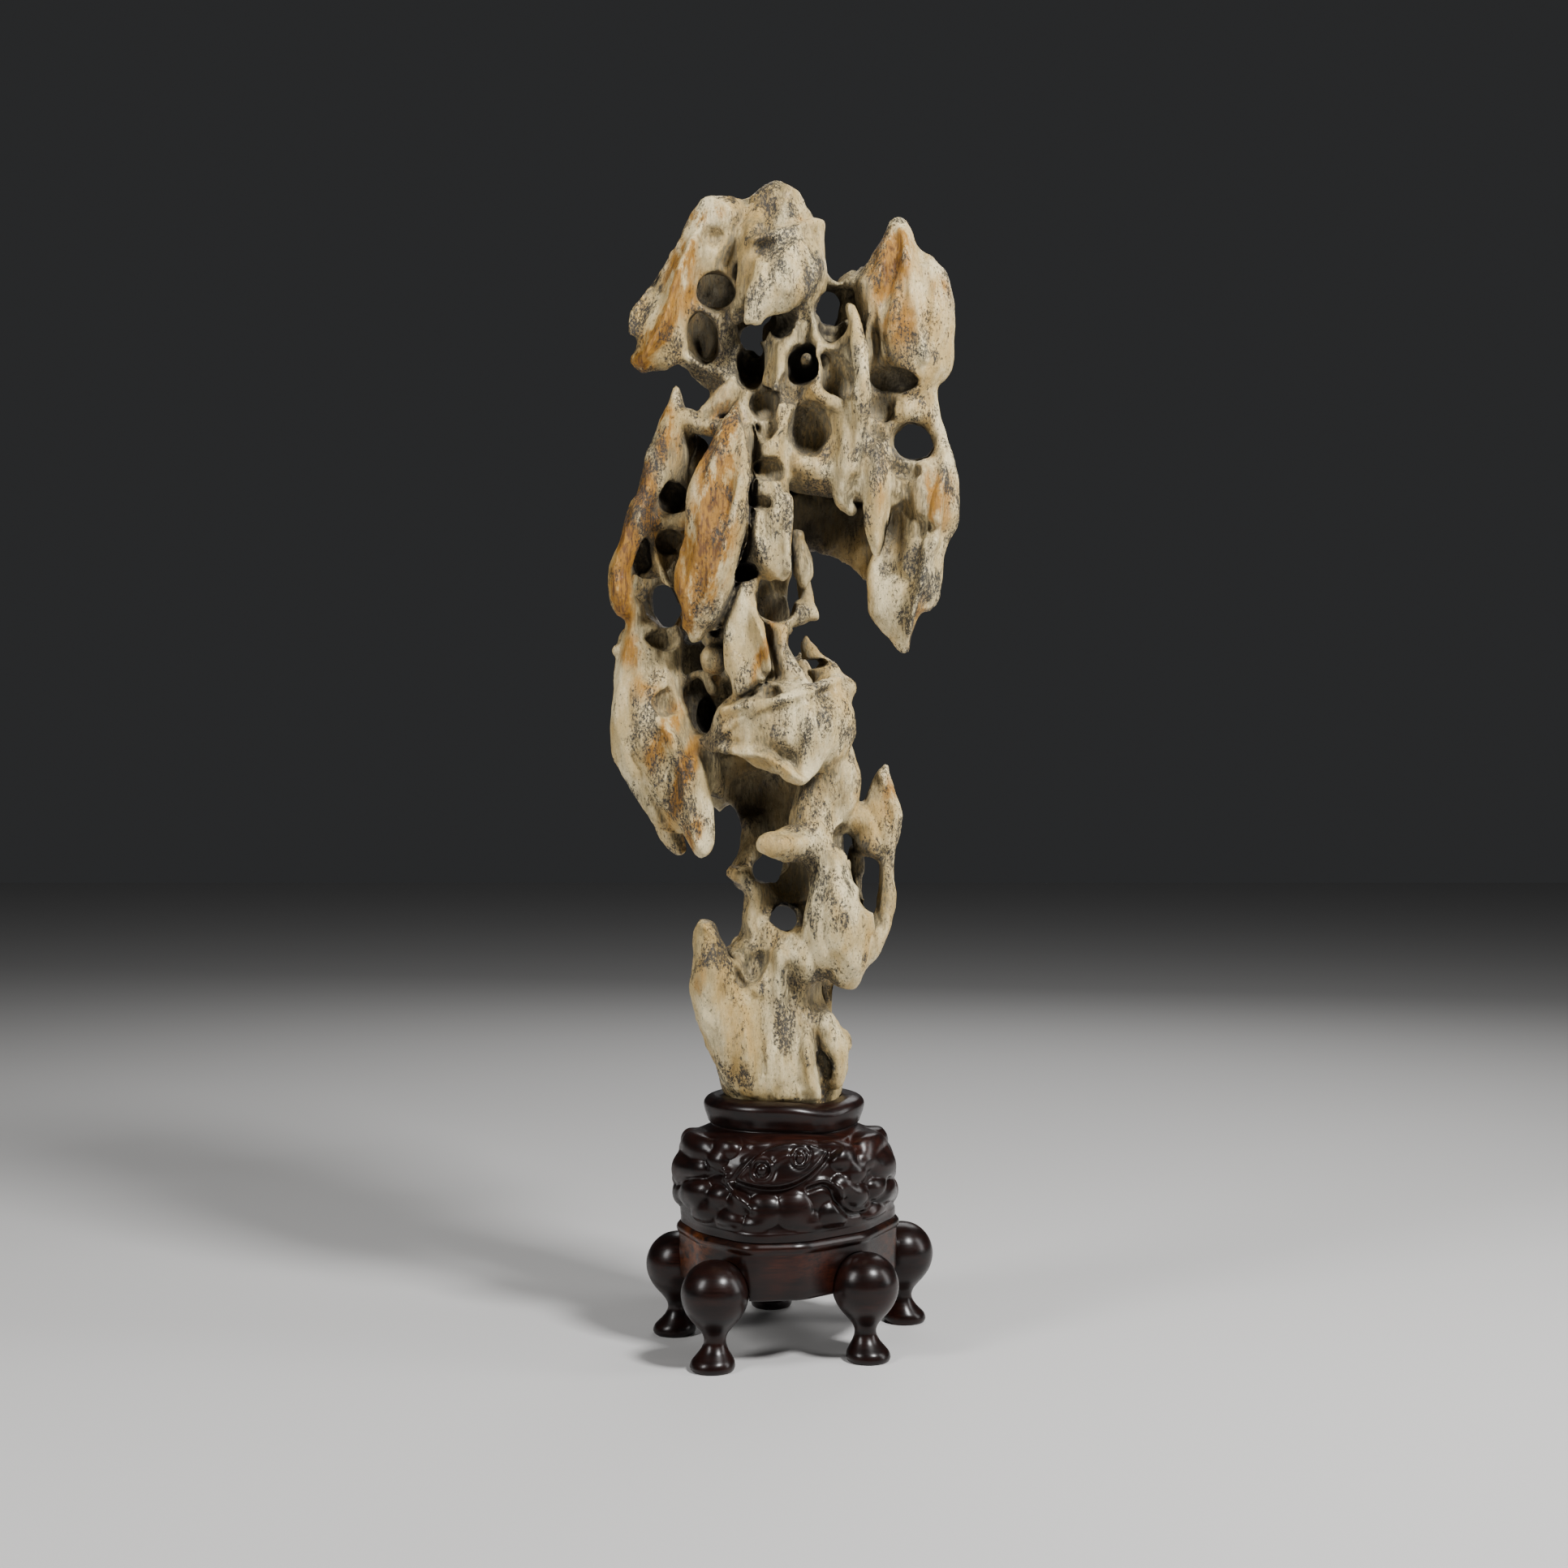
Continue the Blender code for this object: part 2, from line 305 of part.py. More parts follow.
def spline(points, steps):
    """A smooth run through the points, with this many steps between neighbours."""
    padded = [points[0], *points, points[-1]]
    run = []
    for index in range(len(points) - 1):
        before, here, after, beyond = padded[index:index + 4]
        for step in range(steps):
            t = step / steps
            run.append(tuple(
                0.5 * (2 * b + (c - a) * t + (2 * a - 5 * b + 4 * c - d) * t * t
                       + (3 * b - a - 3 * c + d) * t * t * t)
                for a, b, c, d in zip(before, here, after, beyond)))
    run.append(tuple(points[-1]))
    return run


# ---------------------------------------------------------------- shapes of the stone
RING_SIDES = 18
PATH_STEPS = 4
KEEL = 1.2                    # above 1 an oval section is drawn in towards a keel
SCALLOP_SIZE = 27.0           # width of the shallow scallops that cover the stone
SCALLOP_DEEP_FRONT = 3.0
SCALLOP_DEEP_REAR = 9.0
SWAY_SIZE = 60.0              # length of the slow bends in its faces
SWAY_FRONT = 0.8
SWAY_REAR = 3.5


def section_corner(angle, wide, deep):
    across = math.copysign(abs(math.cos(angle)) ** KEEL, math.cos(angle))
    out = math.copysign(abs(math.sin(angle)) ** KEEL, math.sin(angle))
    return wide * across, deep * out


def limb_sections(stations):
    """Centre, direction and half sizes of each ring, with the rings of two rounded caps."""
    path = spline(stations, PATH_STEPS)
    centres = [sight(x, z, y) for x, z, y, _, _ in path]
    halves = [(wide * (1 + y / EYE_BACK) * MM, deep * MM) for x, z, y, wide, deep in path]
    last = len(path) - 1
    tangents = [(centres[min(index + 1, last)] - centres[max(index - 1, 0)]).normalized()
                for index in range(len(path))]
    sections = list(zip(centres, tangents, halves))
    caps = []
    for sign, index in ((-1, 0), (1, last)):
        reach = min(halves[index]) * sign
        cap = []
        for turn in (25, 50, 72):
            angle = math.radians(turn)
            centre = centres[index] + tangents[index] * reach * math.sin(angle)
            size = tuple(half * math.cos(angle) for half in halves[index])
            cap.append((centre, tangents[index], size))
        caps.append((cap, centres[index] + tangents[index] * reach))
    (first_cap, first_tip), (last_cap, last_tip) = caps
    return first_cap[::-1] + sections + last_cap, first_tip, last_tip


def add_limb(bm, stations):
    """Loft one limb: oval rings along its path, closed with a rounded cap at each end."""
    sections, first_tip, last_tip = limb_sections(stations)
    loops = []
    for centre, tangent, (wide, deep) in sections:
        side = tangent.cross(Vector((0, 1, 0))).normalized()
        out = side.cross(tangent).normalized()
        loop = []
        for corner in range(RING_SIDES):
            across, along = section_corner(2 * math.pi * corner / RING_SIDES, wide, deep)
            loop.append(bm.verts.new(centre + side * across + out * along))
        loops.append(loop)
    for lower, upper in zip(loops, loops[1:]):
        for corner in range(RING_SIDES):
            after = (corner + 1) % RING_SIDES
            bm.faces.new((lower[corner], lower[after], upper[after], upper[corner]))
    for loop, tip in ((loops[0], first_tip), (loops[-1], last_tip)):
        pole = bm.verts.new(tip)
        for corner in range(RING_SIDES):
            bm.faces.new((loop[corner], loop[(corner + 1) % RING_SIDES], pole))


def tool_axes(direction, tilt):
    """Across, along and up for a tool that looks along a direction, tilted round it."""
    across = direction.cross(Vector((0, 0, 1))).normalized()
    up = across.cross(direction).normalized()
    angle = math.radians(tilt)
    return (across * math.cos(angle) + up * math.sin(angle), direction,
            up * math.cos(angle) - across * math.sin(angle))


def add_ball(bm, centre, axes, halves):
    """An ellipsoid with its three half axes along the given directions."""
    made = bmesh.ops.create_icosphere(bm, subdivisions=3, radius=1.0)
    for vert in made["verts"]:
        place = vert.co.copy()
        vert.co = centre + sum((axis * half * value for axis, half, value
                                in zip(axes, halves, place)), Vector())


def add_pit(bm, surface, origin, direction, pit):
    """Sink a rounded tool into the first face met from the origin."""
    wide, high, deep, tilt = pit
    hit = surface.ray_cast(origin, direction)[0]
    reach = max(deep, 0.7 * min(wide, high))
    centre = hit + direction * (deep - reach) * MM
    add_ball(bm, centre, tool_axes(direction, tilt), (wide * MM, reach * MM, high * MM))


def add_hollows(bm, surface):
    """Every pit of the front and the back, and every hole that runs through."""
    eye = sight(0, EYE_UP, -EYE_BACK)
    for across, up, *pit in PITS_FRONT:
        add_pit(bm, surface, eye, (sight(across, up, 0) - eye).normalized(), pit)
    for across, up, *pit in PITS_REAR:
        add_pit(bm, surface, Vector((across, REAR_START, up)) * MM, Vector((0, -1, 0)), pit)
    for across, up, wide, high, tilt in BORES:
        axes = tool_axes((sight(across, up, 0) - eye).normalized(), tilt)
        for depth in BORE_DEPTHS:
            add_ball(bm, sight(across, up, depth), axes, (wide * MM, BORE_REACH * MM, high * MM))


def scallop(mesh):
    """Water-worn skin: shallow cells with crests between them, deeper behind than in front."""
    normals = [vert.normal.copy() for vert in mesh.vertices]
    for vert, normal in zip(mesh.vertices, normals):
        place = vert.co / MM
        rear = min(1.0, max(0.0, (place.y + 10.0) / 30.0))
        near = noise.voronoi(place / SCALLOP_SIZE)[0][0]
        deep = SCALLOP_DEEP_FRONT + rear * (SCALLOP_DEEP_REAR - SCALLOP_DEEP_FRONT)
        hollow = (near * near - 0.35) * deep
        sway = noise.noise(place / SWAY_SIZE) * (SWAY_FRONT + rear * (SWAY_REAR - SWAY_FRONT))
        vert.co += normal * (hollow + sway) * MM


def add_remesh(thing, voxel):
    remesh = thing.modifiers.new("Grow together", 'REMESH')
    remesh.mode = 'VOXEL'
    remesh.voxel_size = voxel * MM
    remesh.adaptivity = 0.0


def add_smooth(thing, turns):
    smooth = thing.modifiers.new("Wear smooth", 'SMOOTH')
    smooth.factor = 0.5
    smooth.iterations = turns


def add_cut(thing, tool):
    cut = thing.modifiers.new("Cut " + tool.name, 'BOOLEAN')
    cut.operation = 'DIFFERENCE'
    cut.object = tool
    tool.hide_render = True
    tool.display_type = 'WIRE'


def keep_largest(mesh):
    """Drop the crumbs that the cuts leave, so that the stone is one piece."""
    bm = bmesh.new()
    bm.from_mesh(mesh)
    unseen = set(bm.verts)
    pieces = []
    while unseen:
        edge_of_piece = [unseen.pop()]
        piece = list(edge_of_piece)
        while edge_of_piece:
            here = edge_of_piece.pop()
            fresh = [edge.other_vert(here) for edge in here.link_edges]
            fresh = [vert for vert in fresh if vert in unseen]
            unseen.difference_update(fresh)
            edge_of_piece.extend(fresh)
            piece.extend(fresh)
        pieces.append(piece)
    pieces.sort(key=len)
    for crumb in pieces[:-1]:
        bmesh.ops.delete(bm, geom=crumb, context='VERTS')
    bm.to_mesh(mesh)
    bm.free()


def grow_limbs():
    """The limbs grown together into one worn skin."""
    bm = bmesh.new()
    for stations in LIMBS.values():
        add_limb(bm, stations)
    limbs = add_object("limbs", bmesh_to_mesh(bm, "limbs"))
    add_remesh(limbs, STONE_VOXEL)
    add_smooth(limbs, GROWN_WEAR)
    skin = evaluated_mesh(limbs)
    bpy.data.objects.remove(limbs, do_unlink=True)
    scallop(skin)
    return skin


def hollow_out(skin):
    """The skin with its pits and holes cut."""
    surface = BVHTree.FromPolygons([vert.co for vert in skin.vertices],
                                   [face.vertices for face in skin.polygons])
    bm = bmesh.new()
    add_hollows(bm, surface)
    hollows = add_object("hollows", bmesh_to_mesh(bm, "hollows"))
    add_remesh(hollows, STONE_VOXEL)
    body = add_object("body", skin)
    add_cut(body, hollows)
    add_remesh(body, STONE_VOXEL)
    add_smooth(body, CUT_WEAR)
    hollowed = evaluated_mesh(body)
    bpy.data.objects.remove(body, do_unlink=True)
    bpy.data.objects.remove(hollows, do_unlink=True)
    keep_largest(hollowed)
    return hollowed


def make_stone(material, seat):
    """The finished stone: grown, hollowed, faceted and fitted to its seat."""
    hollowed = hollow_out(grow_limbs())
    hollowed.name = "stone"
    stone = add_object("stone", hollowed, material)
    thin = stone.modifiers.new("Facet", 'DECIMATE')
    thin.ratio = STONE_SHARE
    thin.use_collapse_triangulate = True
    add_cut(stone, seat)
    return stone


# ---------------------------------------------------------------- the stand
# Plan of the apron, counter-clockwise seen from above: five sides carry a leg.
APRON_PLAN = [(-21, -68.5), (11.5, -64), (48.5, -33), (70.5, 14.5), (66, 42), (40, 64), (8, 72),
              (-26, 68), (-56, 40), (-65, 0), (-50.5, -37.5)]
PLAN_CENTRE = (3.0, 3.0)
BLOCK_SIDES = 40
BLOCK_WAIST = 81.0            # bosses stay above the block's plain foot
BLOCK_NECK = 134.0            # and below the neck under its collar

# The carved block, bottom to top and then down into its socket:
# (up, half width, half depth, share of the apron's plan in the outline).
BLOCK_PROFILE = [
    (GROOVE_UP + GAP, 68, 66, 1.0), (79.5, 69.5, 67, 1.0), (82.5, 68, 65, 0.85), (89, 69.5, 65, 0.5),
    (96, 70, 65, 0.25), (104, 70, 64, 0.05), (112, 69, 62.5, 0.0), (120, 67, 60, 0.0),
    (128, 61, 54, 0.0), (133.5, 53.5, 47, 0.0), (138.5, 45.3, 40, 0.0), (142.5, 47.5, 42, 0.0),
    (147, 49, 44, 0.0), (151, 47.5, 42.5, 0.0), (COLLAR_TOP, 43, 38, 0.0), (152, 36, 31, 0.0),
]
SOCKET_PROFILE = [(151, 34.4, 29.4), (SOCKET_FLOOR, 32.5, 27.5)]

# Carved bosses of the block: (across, up, radius, height) in the front elevation.
BOSSES_FRONT = [
    (-52, 120, 9, 5), (-38, 117, 8, 3.5), (-61, 104, 9, 3), (-52, 89, 9, 3.5), (-32, 85, 8, 3),
    (-36, 101, 9, 2.5), (0, 106, 20, 3), (-20, 97, 8, 2), (32, 112, 9, 3), (48, 106, 8, 3),
    (53, 119, 8, 4), (62, 126, 7, 4), (40, 90, 10, 3), (60, 95, 8, 3.5), (12, 84, 9, 2.5),
    (69, 104, 7, 3), (-14, 84, 7, 2),
]
# The same round the back: (angle, up, radius, height), the angle counter-clockwise from +X.
BOSSES_ROUND = [
    (15, 122, 10, 4), (20, 96, 11, 4), (38, 110, 10, 3.5), (55, 92, 11, 4), (62, 122, 10, 4),
    (80, 104, 13, 4), (100, 118, 10, 4), (104, 90, 11, 3.5), (122, 106, 12, 4), (140, 122, 10, 4),
    (144, 92, 11, 3.5), (160, 108, 10, 4), (172, 124, 8, 3.5), (176, 92, 9, 3.5), (2, 108, 8, 3),
]


def plan_radius(angle, plan):
    """Distance from the plan's centre to its outline in one direction."""
    aim = Vector((math.cos(angle), math.sin(angle)))
    for (ax, ay), (bx, by) in zip(plan, plan[1:] + plan[:1]):
        start = Vector((ax - PLAN_CENTRE[0], ay - PLAN_CENTRE[1]))
        edge = Vector((bx - ax, by - ay))
        cross = aim.x * edge.y - aim.y * edge.x
        reach = (start.x * edge.y - start.y * edge.x) / cross
        along = (start.x * aim.y - start.y * aim.x) / cross
        if reach > 0 and 0 <= along < 1:
            return reach
    return 0.0


def rounded_radii(plan, sides, softness):
    """The plan's radius in each direction, its corners rounded by averaging neighbours."""
    raw = [plan_radius(2 * math.pi * side / sides, plan) for side in range(sides)]
    reach = range(-softness, softness + 1)
    return [sum(raw[(side + shift) % sides] for shift in reach) / len(reach) for side in range(sides)]


def add_rings(bm, rings):
    """Skin a stack of rings and close its first and last ring with a flat face."""
    loops = [[bm.verts.new(Vector(corner) * MM) for corner in ring] for ring in rings]
    for lower, upper in zip(loops, loops[1:]):
        for corner in range(len(lower)):
            after = (corner + 1) % len(lower)
            bm.faces.new((lower[corner], lower[after], upper[after], upper[corner]))
    bm.faces.new(loops[0][::-1])
    bm.faces.new(loops[-1])


def block_rings(ease):
    """Rings of the carved block and its socket, all faces moved out by the ease."""
    radii = rounded_radii(APRON_PLAN, BLOCK_SIDES, 1)
    rings = []
    for index, (up, wide, deep, share) in enumerate(BLOCK_PROFILE):
        lift = ease if up > GROOVE_UP + GAP else -ease
        ring = []
        for side, radius in enumerate(radii):
            angle = 2 * math.pi * side / BLOCK_SIDES
            oval_x = (wide + ease) * math.cos(angle)
            oval_y = (deep + ease) * math.sin(angle)
            plan_x = PLAN_CENTRE[0] + radius * math.cos(angle)
            plan_y = PLAN_CENTRE[1] + radius * math.sin(angle)
            ring.append((oval_x + (plan_x - oval_x) * share, oval_y + (plan_y - oval_y) * share, up + lift))
        rings.append(ring)
    for up, wide, deep in SOCKET_PROFILE:
        rings.append([((wide - ease) * math.cos(2 * math.pi * side / BLOCK_SIDES),
                       (deep - ease) * math.sin(2 * math.pi * side / BLOCK_SIDES), up + ease)
                      for side in range(BLOCK_SIDES)])
    return rings


def make_seat():
    """The block grown by the clearance: what the stone's foot is fitted to."""
    bm = bmesh.new()
    add_rings(bm, block_rings(GAP))
    return add_object("stone_seat", bmesh_to_mesh(bm, "stone_seat"))


def swell(mesh, centre, radius, height):
    """Raise a soft round boss on the block, outwards from its axis."""
    for vert in mesh.vertices:
        distance = (vert.co - centre).length / MM / radius
        if distance < 2.0 and BLOCK_WAIST < vert.co.z / MM < BLOCK_NECK:
            outward = Vector((vert.co.x, vert.co.y, 0)).normalized()
            vert.co += outward * height * math.exp(-2.2 * distance * distance) * MM


def make_block(material):
    """The carved block: collar, neck, bossed belly and the foot that stands on the apron."""
    bm = bmesh.new()
    add_rings(bm, block_rings(0.0))
    mesh = bmesh_to_mesh(bm, "stand_body")
    surface = BVHTree.FromPolygons([vert.co for vert in mesh.vertices],
                                   [face.vertices for face in mesh.polygons])
    eye = sight(0, EYE_UP, -EYE_BACK)
    bosses = []
    for across, up, radius, height in BOSSES_FRONT:
        hit = surface.ray_cast(eye, (sight(across, up, 0) - eye).normalized())[0]
        bosses.append((hit, radius, height))
    for turn, up, radius, height in BOSSES_ROUND:
        aim = Vector((math.cos(math.radians(turn)), math.sin(math.radians(turn)), 0))
        hit = surface.ray_cast(Vector((0, 0, up * MM)) + aim * 0.2, -aim)[0]
        bosses.append((hit, radius, height))
    for boss in bosses:
        swell(mesh, *boss)
    return add_object("stand_body", mesh, material)


# The apron under the block: (up, how far its face stands out from the plan), bottom to top.
APRON_PROFILE = [(APRON_FOOT, -1.2), (APRON_FOOT + 1.2, 0), (67.5, 0.6), (69, 2.0), (72, 2.0),
                 (GROOVE_UP, 0.4)]
APRON_HOLLOW = 46.0           # radius of the turned recess in its underside
APRON_HOLLOW_DEEP = 12.0
NOTCH_EASE = 0.9              # a notch is a faceted ball, so it is cut larger than the leg's head


def make_apron(material, legs):
    """A slab with eleven soft corners, a bead along its top and a turned recess below."""
    radii = rounded_radii(APRON_PLAN, BLOCK_SIDES, 1)
    rings = []
    for up, out in APRON_PROFILE:
        ring = []
        for side, radius in enumerate(radii):
            angle = 2 * math.pi * side / BLOCK_SIDES
            ring.append((PLAN_CENTRE[0] + (radius + out) * math.cos(angle),
                         PLAN_CENTRE[1] + (radius + out) * math.sin(angle), up))
        rings.append(ring)
    bm = bmesh.new()
    add_rings(bm, rings)
    apron = add_object("stand_apron", bmesh_to_mesh(bm, "stand_apron"), material)
    bm = bmesh.new()
    bmesh.ops.create_cone(bm, cap_ends=True, segments=24, radius1=(APRON_HOLLOW + 2) * MM,
                          radius2=APRON_HOLLOW * MM, depth=2 * APRON_HOLLOW_DEEP * MM)
    recess = add_object("apron_recess", bmesh_to_mesh(bm, "apron_recess"))
    recess.location = Vector((*PLAN_CENTRE, APRON_FOOT)) * MM
    add_cut(apron, recess)
    for name, (across, along, _) in legs.items():
        bm = bmesh.new()
        bmesh.ops.create_icosphere(bm, subdivisions=3, radius=(LEG_BULB + NOTCH_EASE) * MM)
        notch = add_object(name + "_notch", bmesh_to_mesh(bm, name + "_notch"))
        notch.location = Vector((across, along, LEG_BULB_UP)) * MM
        add_cut(apron, notch)
    return apron


# Each leg stands at (across, along) and turns its toe outwards by an angle from +X.
LEGS = {
    "leg_front_left": (-40.5, -64, 237),
    "leg_front_right": (48.5, -43, 313),
    "leg_side_right": (75, 46, 30),
    "leg_side_left": (-66, 17, 172),
    "leg_back": (-8, 84, 97),
}
# Turned profile of a leg, from the sole up: (radius, up, how far the ring leans to the toe).
LEG_PROFILE = [
    (11.5, 0, 2.5), (13.3, 2, 2.5), (12.8, 5.5, 2.0), (8.8, 11, 0.5), (6.5, 16.5, 0), (8.2, 22, 0),
    (14.0, 29, 0), (18.6, 36.5, 0), (LEG_BULB, LEG_BULB_UP, 0), (18.4, 51.5, 0), (13.0, 59, 0),
    (5.0, 63.4, 0),
]
LEG_SIDES = 12


def make_leg(name, across, along, toe_turn, material):
    """A turned leg: flat sole, flared foot, thin ankle and a ball head."""
    toe = Vector((math.cos(math.radians(toe_turn)), math.sin(math.radians(toe_turn)), 0))
    rings = []
    for radius, up, lean in LEG_PROFILE:
        ring = []
        for side in range(LEG_SIDES):
            angle = 2 * math.pi * side / LEG_SIDES
            ring.append((radius * math.cos(angle) + toe.x * lean,
                         radius * math.sin(angle) + toe.y * lean, up))
        rings.append(ring)
    bm = bmesh.new()
    add_rings(bm, rings)
    leg = add_object(name, bmesh_to_mesh(bm, name), material)
    leg.location = Vector((across, along, 0)) * MM
    return leg


# ---------------------------------------------------------------- the whole object
def main():
    clear_scene()
    stone_material = make_material("stone", (0.62, 0.54, 0.42), 0.45)
    wood_material = make_material("stand_wood", (0.06, 0.02, 0.015), 0.3)
    make_stone(stone_material, make_seat())
    make_block(wood_material)
    make_apron(wood_material, LEGS)
    for name, place in LEGS.items():
        make_leg(name, *place, wood_material)
    centre = bpy.data.objects.new("rock_on_stand", None)
    bpy.context.scene.collection.objects.link(centre)
    centre.location = Vector(AXIS_SHIFT) * MM
    for piece in bpy.data.objects:
        if piece.type == 'MESH':
            piece.parent = centre


main()
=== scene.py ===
# %% [markdown]
# # A scholar's rock on its carved stand
#
# The real object is a tall limestone that water has eaten into holes, blades and lobes, polished
# to a soft gloss, and a dark hardwood stand made for it: a carved block with a socket, a faceted
# apron below it and five turned legs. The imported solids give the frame: every piece made here
# stands where its solid stands. Lengths are in millimetres until a mesh is finished.

# %% Load the frame
import math
from functools import reduce

import bmesh
import bpy
import numpy as np
from mathutils import Matrix, Vector, noise
from mathutils.bvhtree import BVHTree


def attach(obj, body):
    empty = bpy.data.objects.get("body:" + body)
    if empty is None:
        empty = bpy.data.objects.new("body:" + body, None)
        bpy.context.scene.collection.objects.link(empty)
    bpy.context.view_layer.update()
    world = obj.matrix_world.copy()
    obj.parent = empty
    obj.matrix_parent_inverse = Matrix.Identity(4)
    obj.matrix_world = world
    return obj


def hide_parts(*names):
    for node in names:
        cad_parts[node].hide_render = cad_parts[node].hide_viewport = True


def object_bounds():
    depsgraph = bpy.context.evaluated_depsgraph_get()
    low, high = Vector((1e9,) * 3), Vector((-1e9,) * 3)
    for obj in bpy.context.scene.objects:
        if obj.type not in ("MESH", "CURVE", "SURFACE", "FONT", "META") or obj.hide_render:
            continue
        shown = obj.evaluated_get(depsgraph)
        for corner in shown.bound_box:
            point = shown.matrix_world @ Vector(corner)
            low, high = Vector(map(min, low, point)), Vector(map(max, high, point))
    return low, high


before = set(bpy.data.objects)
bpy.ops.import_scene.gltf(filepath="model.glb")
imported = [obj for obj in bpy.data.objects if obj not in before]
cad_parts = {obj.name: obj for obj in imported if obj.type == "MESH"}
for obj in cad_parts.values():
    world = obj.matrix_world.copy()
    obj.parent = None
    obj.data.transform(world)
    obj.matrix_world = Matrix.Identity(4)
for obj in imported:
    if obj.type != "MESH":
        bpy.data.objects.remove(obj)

CAD_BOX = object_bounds()
MM = 0.001
GAP = 0.35                    # clearance between two pieces that touch
AXIS_SHIFT = Vector((-0.3, -9.8, 0)) * MM
print("their box:", [tuple(round(value, 4) for value in corner) for corner in CAD_BOX])

# %% [markdown]
# ## The line of sight
#
# A free form like this is easiest to set out on its front elevation, as the eye in front of it
# sees it: how far across, how far up, and how deep behind that spot the surface lies. One small
# function slides a spot of the elevation along its line of sight to its depth, and one turns it
# back, so that every list below can be checked against what the camera shows.

# %% From the front elevation to space and back
EYE_BACK = 1297.0             # the eye's distance in front of the stone's axis
EYE_UP = 343.0                # and its height over the floor


def sight(across, up, depth):
    """A point of the front elevation, slid along the line of sight to its depth."""
    scale = (EYE_BACK + depth) / EYE_BACK
    return Vector((across * scale, depth, EYE_UP + (up - EYE_UP) * scale)) * MM


def elevation_of(places):
    """Where points in space (an array of rows) show on the front elevation, in millimetres."""
    scale = EYE_BACK / (EYE_BACK + places[:, 1] / MM)
    return places[:, 0] / MM * scale, EYE_UP + (places[:, 2] / MM - EYE_UP) * scale


EYE = sight(0, EYE_UP, -EYE_BACK)
print("the eye stands at", tuple(round(value, 3) for value in EYE))

# %% [markdown]
# ## Working with operators
#
# Operators act on whatever is selected, so each step first clears the selection and picks its
# own object. A modifier that is applied at once is the safest way to finish a form: what is seen
# is then what is in the mesh.

# %% Helpers that pick, finish and read a mesh


def pick(thing):
    """Make one object the only selected and the active one."""
    bpy.ops.object.select_all(action='DESELECT')
    thing.select_set(True)
    bpy.context.view_layer.objects.active = thing


def finish_with(thing, kind, **settings):
    """Add one modifier, set it and apply it."""
    pick(thing)
    modifier = thing.modifiers.new(kind.title(), kind)
    for name, value in settings.items():
        setattr(modifier, name, value)
    bpy.ops.object.modifier_apply(modifier=modifier.name)


def grow_together(thing, grain):
    """Melt everything in the mesh into one closed skin of this grain."""
    finish_with(thing, 'REMESH', mode='VOXEL', voxel_size=grain * MM, adaptivity=0.0)


def wear(thing, turns):
    """Rub the skin smooth."""
    finish_with(thing, 'SMOOTH', factor=0.5, iterations=turns)


def new_piece(name, bm):
    """Turn a bmesh into an object whose faces point outwards."""
    bmesh.ops.recalc_face_normals(bm, faces=bm.faces)
    mesh = bpy.data.meshes.new(name)
    bm.to_mesh(mesh)
    bm.free()
    thing = bpy.data.objects.new(name, mesh)
    bpy.context.scene.collection.objects.link(thing)
    return thing


def read_mesh(mesh):
    """The vertices' places and normals as two arrays."""
    places = np.empty(len(mesh.vertices) * 3)
    normals = np.empty(len(mesh.vertices) * 3)
    mesh.vertices.foreach_get("co", places)
    mesh.vertices.foreach_get("normal", normals)
    return places.reshape(-1, 3), normals.reshape(-1, 3)


def write_mesh(mesh, places):
    """Put moved vertices back."""
    mesh.vertices.foreach_set("co", places.ravel())
    mesh.update()


def surface_of(mesh):
    """A search tree over the mesh, for asking where a ray meets it."""
    return BVHTree.FromPolygons([vert.co for vert in mesh.vertices],
                                [face.vertices for face in mesh.polygons])


# %% [markdown]
# ## The stone: its limbs
#
# The stone has no straight edge and no symmetry: it is a bundle of lobes, ribs and blades that
# join and part again. A cube or a cylinder pushed about could not become it, and sculpting by
# hand cannot be repeated. So each limb is a loft: oval rings along a curve through a few
# stations. The ovals overlap, and a voxel remesh later melts them into one skin, as clay pieces
# are pressed together and rubbed.

